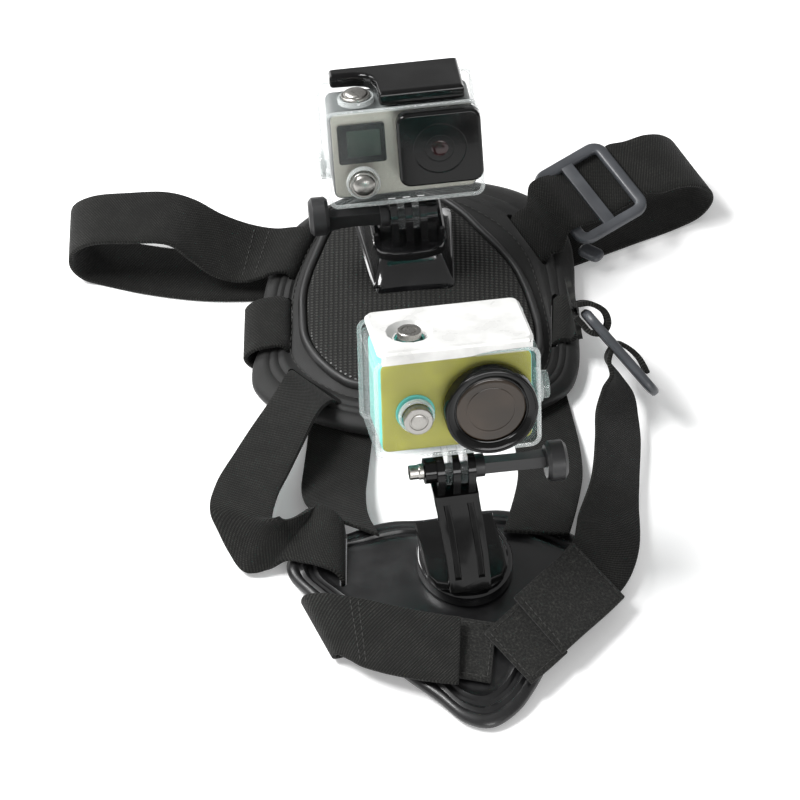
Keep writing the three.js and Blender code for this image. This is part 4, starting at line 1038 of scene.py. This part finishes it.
class HARNESS_OT_chest_pad(bpy.types.Operator):
    """Glossy chest pad with its ridges, and the oval base on it"""
    bl_idname = "harness.chest_pad"
    bl_label = "Chest pad"

    def execute(self, context):
        edge = outline(CHEST_EDGE, 260)
        far = reach(edge, SHIELD_CENTRE)
        deepest = SHIELD_PROFILE[0][0]
        profile = [(1 - d / deepest, rise) for d, rise in SHIELD_PROFILE]
        obj = pad("chest_pad_rubber", edge, SHIELD_CENTRE, chest_height, lambda a: far(a) - deepest, profile,
                  SHIELD_THICKNESS)
        slot_cut(obj, CHEST_SLOTS)
        smooth(obj, 40)
        give(obj, look("shield"), "harness", "gloss_pad", "chest_pad")
        self.base()
        return {"FINISHED"}

    def base(self):
        """Oval base: share of its outline, share of its height."""
        rings = [
            (0, 0), (1, 0), (1, 0.55), (0.995, 0.68), (0.97, 0.76), (0.93, 0.8), (0.9, 0.8), (0.875, 0.86),
            (0.85, 0.94), (0.8, 1), (0.4, 1), (0, 1),
        ]
        steps = 72
        turn = Matrix.Rotation(math.radians(10), 2)
        half, long_half, top = 18.8, 23, 17

        def place(i, j):
            scale, share = rings[j]
            a = TURN * i / steps
            p = turn @ Vector((half * scale * math.cos(a), long_half * scale * math.sin(a)))
            x, y = p.x + 25.2, p.y - 101
            foot = chest_height(x, y) + 0.95
            return Vector((x, y, foot + (top - foot) * share)) * MM + ORIGIN
        base = surface("chest_base_moulding", steps, len(rings) - 1, place, closed=True)
        smooth(base, 32)
        give(base, look("gloss"), "harness", "gloss_black", "chest_base")


def slider(node, row, bar, thickness):
    """A strap slider: a round-cornered frame with soft bars, and its middle bar."""
    side, along, up = slider_axes(row)
    turn = Matrix((side, along, up)).transposed().to_4x4()
    matrix = Matrix.Translation(Vector(row["middle"]) * MM + ORIGIN) @ turn
    h = thickness / 2
    upper = [
        (bar, h * 0.3), (bar - h * 0.3, h * 0.8), (bar - h * 0.8, h), (h * 0.8, h), (h * 0.35, h * 0.9),
        (0, h * 0.5),
    ]
    section = [(inset, -rise) for inset, rise in reversed(upper)] + upper
    name = node.replace("_", "-")
    obj = frame_ring(name + "_frame", row["length"] / 2, row["width"] / 2, 6.5, section, matrix, steps=10)
    smooth(obj, 45)
    give(obj, look("satin"), "harness", "satin_grey", node)
    foot = matrix @ Matrix.Translation((0, middle_bar(row) * MM, -h * 0.85 * MM))
    rod = rounded_plate(name + "_bar", row["length"] - bar, 5.4, 0.3, h * 1.7, foot, bevel=0.8)
    give(rod, look("satin"), "harness", "satin_grey")


class HARNESS_OT_mounts(bpy.types.Operator):
    """Ramp, quick-release plate, arm, thumbscrews and sliders"""
    bl_idname = "harness.mounts"
    bl_label = "Mounts and sliders"

    def execute(self, context):
        self.ramp()
        for node, kind, slot, edge in (
            ("back_buckle", "gloss", "gloss_black", 0.35), ("chest_arm", "dark", "gloss_black", 0.35),
            ("back_screw", "black", "matt_black", 0.5), ("chest_screw", "black", "matt_black", 0.5),
        ):
            dress(node, look(kind), slot, edge=edge, angle=40)
        dress("chest_nut", look("steel"), "steel", edge=0.1)
        slider("slider_rear", REAR_SLIDER, 4.9, 3.2)
        slider("slider_side", SIDE_SLIDER, 4.2, 3.8)
        return {"FINISHED"}

    def ramp(self):
        """Wedge that flares towards the pad, with round corners, cut off just above the mesh."""
        matrix = mount_matrix(BACK_PIVOT, BACK_TURN, pitched=False)
        levels = [-0.1] + [k / 16 for k in range(17)]
        corners = 7
        top, height, radius, gap = -17.9, 11.6, 3.4, 2.45

        def seated(p):
            """Lifts a corner onto the pad where it would lie below it."""
            p = matrix @ (Vector(p) * MM)
            low = back_height(*((p - ORIGIN) / MM).xy) + gap
            return Vector((p.x, p.y, max(p.z, low * MM + ORIGIN.z)))

        def place(i, j):
            if j == 0:
                return seated((0, 8, top - height))
            if j == len(levels) + 1:
                return seated((0, 8, top))
            t = levels[j - 1]
            flare = (1 - max(t, 0)) ** 2
            half, front, back = 12.6 + 4 * flare, -4.4 - 12 * flare, 20 + 13 * flare
            side, k = divmod(i, corners + 1)
            a = math.pi / 2 * (side + k / corners)
            sx, sy = QUARTERS[side]
            x = sx * (half - radius) + radius * math.cos(a)
            y = (front + back) / 2 + sy * ((back - front) / 2 - radius) + radius * math.sin(a)
            x *= 1 + 0.25 * ((y - (front + back) / 2) / (back - front) + 0.5)
            inset = 0.5 if t == 1 else 0
            return seated((x * (1 - inset / 14), y, top - height * (1 - t)))
        ramp = surface("ramp_moulding", 4 * (corners + 1), len(levels) + 1, place, closed=True)
        modify(ramp, "BEVEL", width=0.5 * MM, segments=3, limit_method="ANGLE", angle_limit=math.radians(55))
        smooth(ramp, 40)
        give(ramp, look("gloss"), "harness", "gloss_black", "back_ramp")


def button(m, camera, name, place, facing, radius, height, domed=False, steel=True, guarded=True):
    """A push button on its stem: a plain dome on a rim, or a flat cap with a turned ring."""
    low = 1.8
    top = low + height
    profile = [(0, -0.8), (1.6, -0.8), (1.6, low), (radius - 0.3, low), (radius, low + 0.25)]
    if domed:
        rim = low + height * 0.4
        profile += [(radius, rim - 0.25), (radius - 0.25, rim), (radius * 0.86, rim)]
        profile += dome(radius * 0.84, rim, top - rim)
    else:
        rim = low + height * 0.95
        profile += [
            (radius, rim - 0.3), (radius - 0.3, rim), (radius * 0.66, rim), (radius * 0.63, rim - 0.35),
            (radius * 0.55, rim - 0.35), (radius * 0.52, rim),
        ]
        profile += dome(radius * 0.5, rim, top - rim, 6)
    node = f"{camera}_{name}_button"
    cap = lathe(node + "_cap", profile, at(m, place, facing))
    kind, slot = ("steel", "steel") if steel else ("collar", "clear_shell")
    give(cap, look(kind), node, slot, node)
    if guarded:
        guard(f"{camera}_{name}_guard", m, place, facing, radius, f"{camera}_camera")


def housing_rims(prefix, size, m, body):
    """Front and back edges of a clear housing as ridges in a near-white clear finish: a painted highlight for
    the pale lines where they catch the light.
    """
    middle = (size["top"] + size["bottom"]) / 2
    half, rise = size["half"], (size["top"] - size["bottom"]) / 2
    ridge = [(-0.06, 0), (-0.06, 0.2), (0.3, 0.42), (1.3, 0.42), (1.7, 0.2), (1.7, 0)]
    for name, y, facing, grow in (("front", size["front"], "-y", 0), ("back", size["back"], "y", 0.35)):
        ring = frame_ring(f"{prefix}_{name}_rim", half + grow, rise + grow, 4.2, ridge,
                          at(m, (size["shift"], y, middle), facing))
        smooth(ring, 50)
        give(ring, look("rim"), body, "clear_shell")


def face_apart(obj, m, other, limit):
    """Gives every face that doesn't look to the camera's front a second material."""
    obj.data.materials.append(other)
    back = m.to_3x3().inverted()
    for face in obj.data.polygons:
        face.material_index = 0 if (back @ face.normal).y < -limit else 1


def guard(name, m, place, facing, radius, body):
    """Clear collar round a button."""
    section = [(0.35, 0), (1.4, 0), (1.4, 1.7), (1.2, 2.08), (0.55, 2.08), (0.35, 1.7), (0.35, 0)]
    ring = lathe(name, [(radius + gap, height) for gap, height in section], at(m, place, facing), 48)
    # The collar's near-white finish is a painted highlight
    give(ring, look("rim"), body, "clear_shell")


class HARNESS_OT_rear_camera(bpy.types.Operator):
    """Rear camera in its clear housing"""
    bl_idname = "harness.rear_camera"
    bl_label = "Rear camera"

    def execute(self, context):
        m = mount_matrix(BACK_PIVOT, BACK_TURN)
        body = "rear_camera"
        dress("rear_housing", look("clear"), "clear_shell", edge=0.35, angle=45)
        dress("rear_door", look("clear"), "clear_shell", edge=0.5)
        shell = dress("rear_body", look("silver"), "silver_body", edge=2.0, segments=5)
        face_apart(shell, m, look("shell"), 0.9)
        dress("rear_latch", look("dark"), "gloss_black", edge=0.5, angle=25)
        dress("rear_screen", look("dark"), "screen", edge=0.25)
        dress("rear_window", look("dark"), "lens_window", edge=0.5, angle=25)
        housing_rims("rear", REAR, m, body)
        cover = at(m, (-15.9, REAR["front"] + 2.45, 34.6), "-y")
        shown = rounded_plate("rear_display", 13.6, 11.6, 0.6, 0.3, cover, bevel=0.1)
        give(shown, look("screen"), body, "screen")
        front = REAR["front"] - 6.2
        window = at(m, (14.2, front, 33), "-y")
        for name, outer, inner, rise in (
            ("rear_lens_ring", 11.2, 10.6, 0.1), ("rear_lens_step", 6.2, 5.7, 0.08),
        ):
            section = [
                (inner, -0.2), (outer, -0.2), (outer, rise * 0.6), (outer - 0.25, rise), (inner + 0.25, rise),
                (inner, rise * 0.6), (inner, -0.2),
            ]
            give(lathe(name, section, window, 72), look("dark"), body, "lens_window")
        eye = lathe("rear_lens_eye", [(0, -0.2), (3.4, -0.2)] + dome(3.4, 0, 0.25), window, 64)
        give(eye, look("lens"), body, "lens_window")
        button(m, "rear", "top", (-17.4, 4.4, REAR["top"]), "z", 6, 3.4, domed=True)
        button(m, "rear", "front", (-17.4, REAR["front"], 18.4), "-y", 5.6, 3.8, domed=True)
        button(m, "rear", "side", (-REAR["half"], 4.6, 23.5), "-x", 4.6, 3.6, steel=False)
        return {"FINISHED"}


class HARNESS_OT_chest_camera(bpy.types.Operator):
    """Chest camera in its clear housing with the white lid"""
    bl_idname = "harness.chest_camera"
    bl_label = "Chest camera"

    def execute(self, context):
        m = mount_matrix(CHEST_PIVOT, CHEST_TURN)
        body = "chest_camera"
        dress("chest_housing", look("clear"), "clear_shell", edge=0.35, angle=45)
        dress("chest_door", look("clear"), "clear_shell", edge=0.5)
        housing_rims("chest", CHEST, m, body)
        shell = dress("chest_body", look("olive"), "olive_body", edge=0.8)
        face_apart(shell, m, look("sides"), 0.7)
        dress("chest_lid", look("white"), "white_lid", edge=0.4, angle=40)
        ring_at = at(m, (CHEST["shift"] + 12, CHEST["front"] - 0.35, 27.6), "-y")
        section = [
            (0, 0), (17.6, 0), (18, 0.4), (18, 5.7), (17.8, 6.1), (17.4, 6.3), (16.9, 6.3), (16.7, 6.05),
            (16.3, 6.0), (14.6, 5.2), (14.3, 4.9), (14.1, 4.4), (13.75, 4.3), (13.75, 2.4), (0, 2.4),
        ]
        bezel = lathe("chest_bezel_turned", section, ring_at, 120)
        give(bezel, look("dark"), body, "matt_black", "chest_bezel")
        section = [(0, 2.75), (13.4, 2.75), (13.4, 3.8)] + dome(13.2, 3.85, 0.6, 14)
        glass = lathe("chest_lens_glass", section, ring_at, 96)
        give(glass, look("glass"), body, "lens_glass", "chest_glass")
        section = [(9.0, 4.0), (9.6, 4.0), (9.6, 4.42), (9.3, 4.5), (9.0, 4.45), (9.0, 4.0)]
        halo = lathe("chest_lens_ring", section, ring_at, 96)
        give(halo, look("glass"), body, "lens_glass")
        for name, place, facing in (
            ("chest_front_ring", (-14.6, CHEST["front"] + 1.95, 26.4), "-y"),
            ("chest_top_ring", (-14, 12.4, CHEST["top"] + 0.35), "z"),
        ):
            section = [
                (5.3, -0.3), (7.6, -0.3), (7.6, 0.15), (7.4, 0.3), (5.5, 0.3), (5.3, 0.15), (5.3, -0.3),
            ]
            give(lathe(name, section, at(m, place, facing), 72), look("sides"), body, "olive_body")
        button(m, "chest", "top", (-14, 12.4, CHEST["top"]), "z", 4.7, 3, guarded=False)
        button(m, "chest", "front", (-14.6, CHEST["front"], 26.4), "-y", 5.6, 4)
        button(m, "chest", "side", (CHEST["shift"] + CHEST["half"], 9, 27.4), "x", 5.4, 3.2, steel=False)
        return {"FINISHED"}


class HARNESS_OT_stitches(bpy.types.Operator):
    """Sewn lines on the pad, the bands and the tabs"""
    bl_idname = "harness.stitches"
    bl_label = "Stitches"

    def execute(self, context):
        s = context.scene.harness_sizes
        edge = outline(BACK_EDGE, 200)
        inner = reach(outline(MESH_EDGE, 200), PAD_CENTRE)
        line = []
        for p in edge + edge[:1]:
            a = math.atan2(p.y - PAD_CENTRE[1], p.x - PAD_CENTRE[0])
            r = inner(a) + (math.dist(p, PAD_CENTRE) - inner(a)) * 0.335
            x, y = PAD_CENTRE[0] + math.cos(a) * r, PAD_CENTRE[1] + math.sin(a) * r
            line.append(Vector((x, y, back_height(x, y) - 0.62)) * MM + ORIGIN)
        stitches("pad_stitches", line, s.stitch, s.stitch * 0.45, s.thread, "pad")
        rows = strap_rows()
        edge_in, far_end = 0.86, 0.93
        seams = {
            "band_left": [((0.6, -0.92), (0.6, 0.92)), ((0.625, -0.92), (0.625, 0.92))],
            "band_right": [((0.04, -0.9), (0.04, 0.9)), ((0.95, -0.9), (0.95, 0.9))],
            "strap_rear_left": [((0.235, -0.88), (0.235, 0.88)), ((0.27, -0.88), (0.27, 0.88))],
        }
        for name, near_end in (("tab_left", 0.4), ("tab_right", 0.12)):
            seams[name] = [
                ((near_end, -edge_in), (far_end, -edge_in)), ((far_end, -edge_in), (far_end, edge_in)),
                ((far_end, edge_in), (near_end, edge_in)),
            ]
        for name, lines in seams.items():
            table, width, _ = rows[name]
            lift = (TAB_THICKNESS if name.startswith("tab") else s.web / MM) / 2 + 0.08
            for k, (start, end) in enumerate(lines):
                points = seam_line(table, width, start, end, lift)
                stitches(f"{name.replace('_', '-')}_seam{k + 1}", points, s.stitch * 0.8, s.stitch * 0.35,
                         s.thread * 0.85, "webbing")
        return {"FINISHED"}


class HARNESS_OT_stage(bpy.types.Operator):
    """Pale floor, soft light and the camera"""
    bl_idname = "harness.stage"
    bl_label = "Stage"

    def execute(self, context):
        bpy.ops.object.select_all(action="DESELECT")
        bpy.ops.mesh.primitive_plane_add(size=6, location=(0, 0, 0))
        floor = context.object
        floor.name = "floor"
        made, tree, shader = material("studio_light_table_white", 0.9, Emission_Color=(1, 1, 1, 1),
                                      Emission_Strength=0.15)
        grain = noise(tree, coordinates(tree), 0.004, 2.0)
        tree.links.new(mix(tree, grain, srgb("#fbfbfb"), srgb("#ffffff")), shader.inputs["Base Color"])
        floor.data.materials.append(made)
        world = bpy.data.worlds.new("studio")
        context.scene.world = world
        world.use_nodes = True
        world.node_tree.nodes["Background"].inputs["Color"].default_value = (1, 1, 1, 1)
        world.node_tree.nodes["Background"].inputs["Strength"].default_value = 0.4
        context.scene.view_settings.view_transform = "Standard"
        for name, place, aim, size, power in (
            ("key", (-1.0, 0.1, 1.4), (0, 0, 0.03), 0.8, 36),
            ("back", (-1.2, 1.1, 0.9), (0, 0.05, 0.03), 0.7, 12),
            ("fill", (0.5, -1.5, 0.55), (0, 0, 0.03), 0.7, 9),
        ):
            lamp = bpy.data.lights.new(name, "AREA")
            lamp.shape = "RECTANGLE"
            lamp.size, lamp.size_y = size, size * 0.7
            lamp.energy = power
            obj = bpy.data.objects.new(name, lamp)
            obj.location = place
            obj.rotation_euler = (Vector(aim) - Vector(place)).to_track_quat("-Z", "Y").to_euler()
            context.scene.collection.objects.link(obj)
        camera = bpy.data.objects.new("camera", bpy.data.cameras.new("camera"))
        camera.data.lens = 225
        camera.data.sensor_width = 36
        camera.data.clip_start = 0.1
        camera.data.clip_end = 20
        distance = 2.035
        down = math.radians(45)
        camera.location = ORIGIN + Vector((0, -math.cos(down), math.sin(down))) * distance
        camera.rotation_euler = (math.pi / 2 - down, 0, 0)
        context.scene.collection.objects.link(camera)
        context.scene.camera = camera
        return {"FINISHED"}


STEPS = (
    HARNESS_OT_stage, HARNESS_OT_back_pad, HARNESS_OT_chest_pad, HARNESS_OT_mounts, HARNESS_OT_rear_camera,
    HARNESS_OT_chest_camera, HARNESS_OT_straps, HARNESS_OT_stitches,
)


class HARNESS_PT_sidebar(bpy.types.Panel):
    """Sizes, colours and steps of the harness"""
    bl_label = "Pet camera harness"
    bl_idname = "HARNESS_PT_sidebar"
    bl_space_type = "VIEW_3D"
    bl_region_type = "UI"
    bl_category = "Harness"

    def draw(self, context):
        layout = self.layout
        for group in (context.scene.harness_sizes, context.scene.harness_colours):
            for key in group.__annotations__:
                layout.prop(group, key)
        for step in STEPS:
            layout.operator(step.bl_idname)


CLASSES = (HarnessSizes, HarnessColours, *STEPS, HARNESS_PT_sidebar)


def register():
    for made in CLASSES:
        bpy.utils.register_class(made)
    bpy.types.Scene.harness_sizes = bpy.props.PointerProperty(type=HarnessSizes)
    bpy.types.Scene.harness_colours = bpy.props.PointerProperty(type=HarnessColours)


def unregister():
    del bpy.types.Scene.harness_colours
    del bpy.types.Scene.harness_sizes
    for made in reversed(CLASSES):
        bpy.utils.unregister_class(made)


def main():
    register()
    bpy.ops.harness.stage()
    bpy.ops.harness.back_pad()
    bpy.ops.harness.chest_pad()
    bpy.ops.harness.mounts()
    bpy.ops.harness.rear_camera()
    bpy.ops.harness.chest_camera()
    bpy.ops.harness.straps()
    bpy.ops.harness.stitches()


if __name__ == "__main__":
    main()
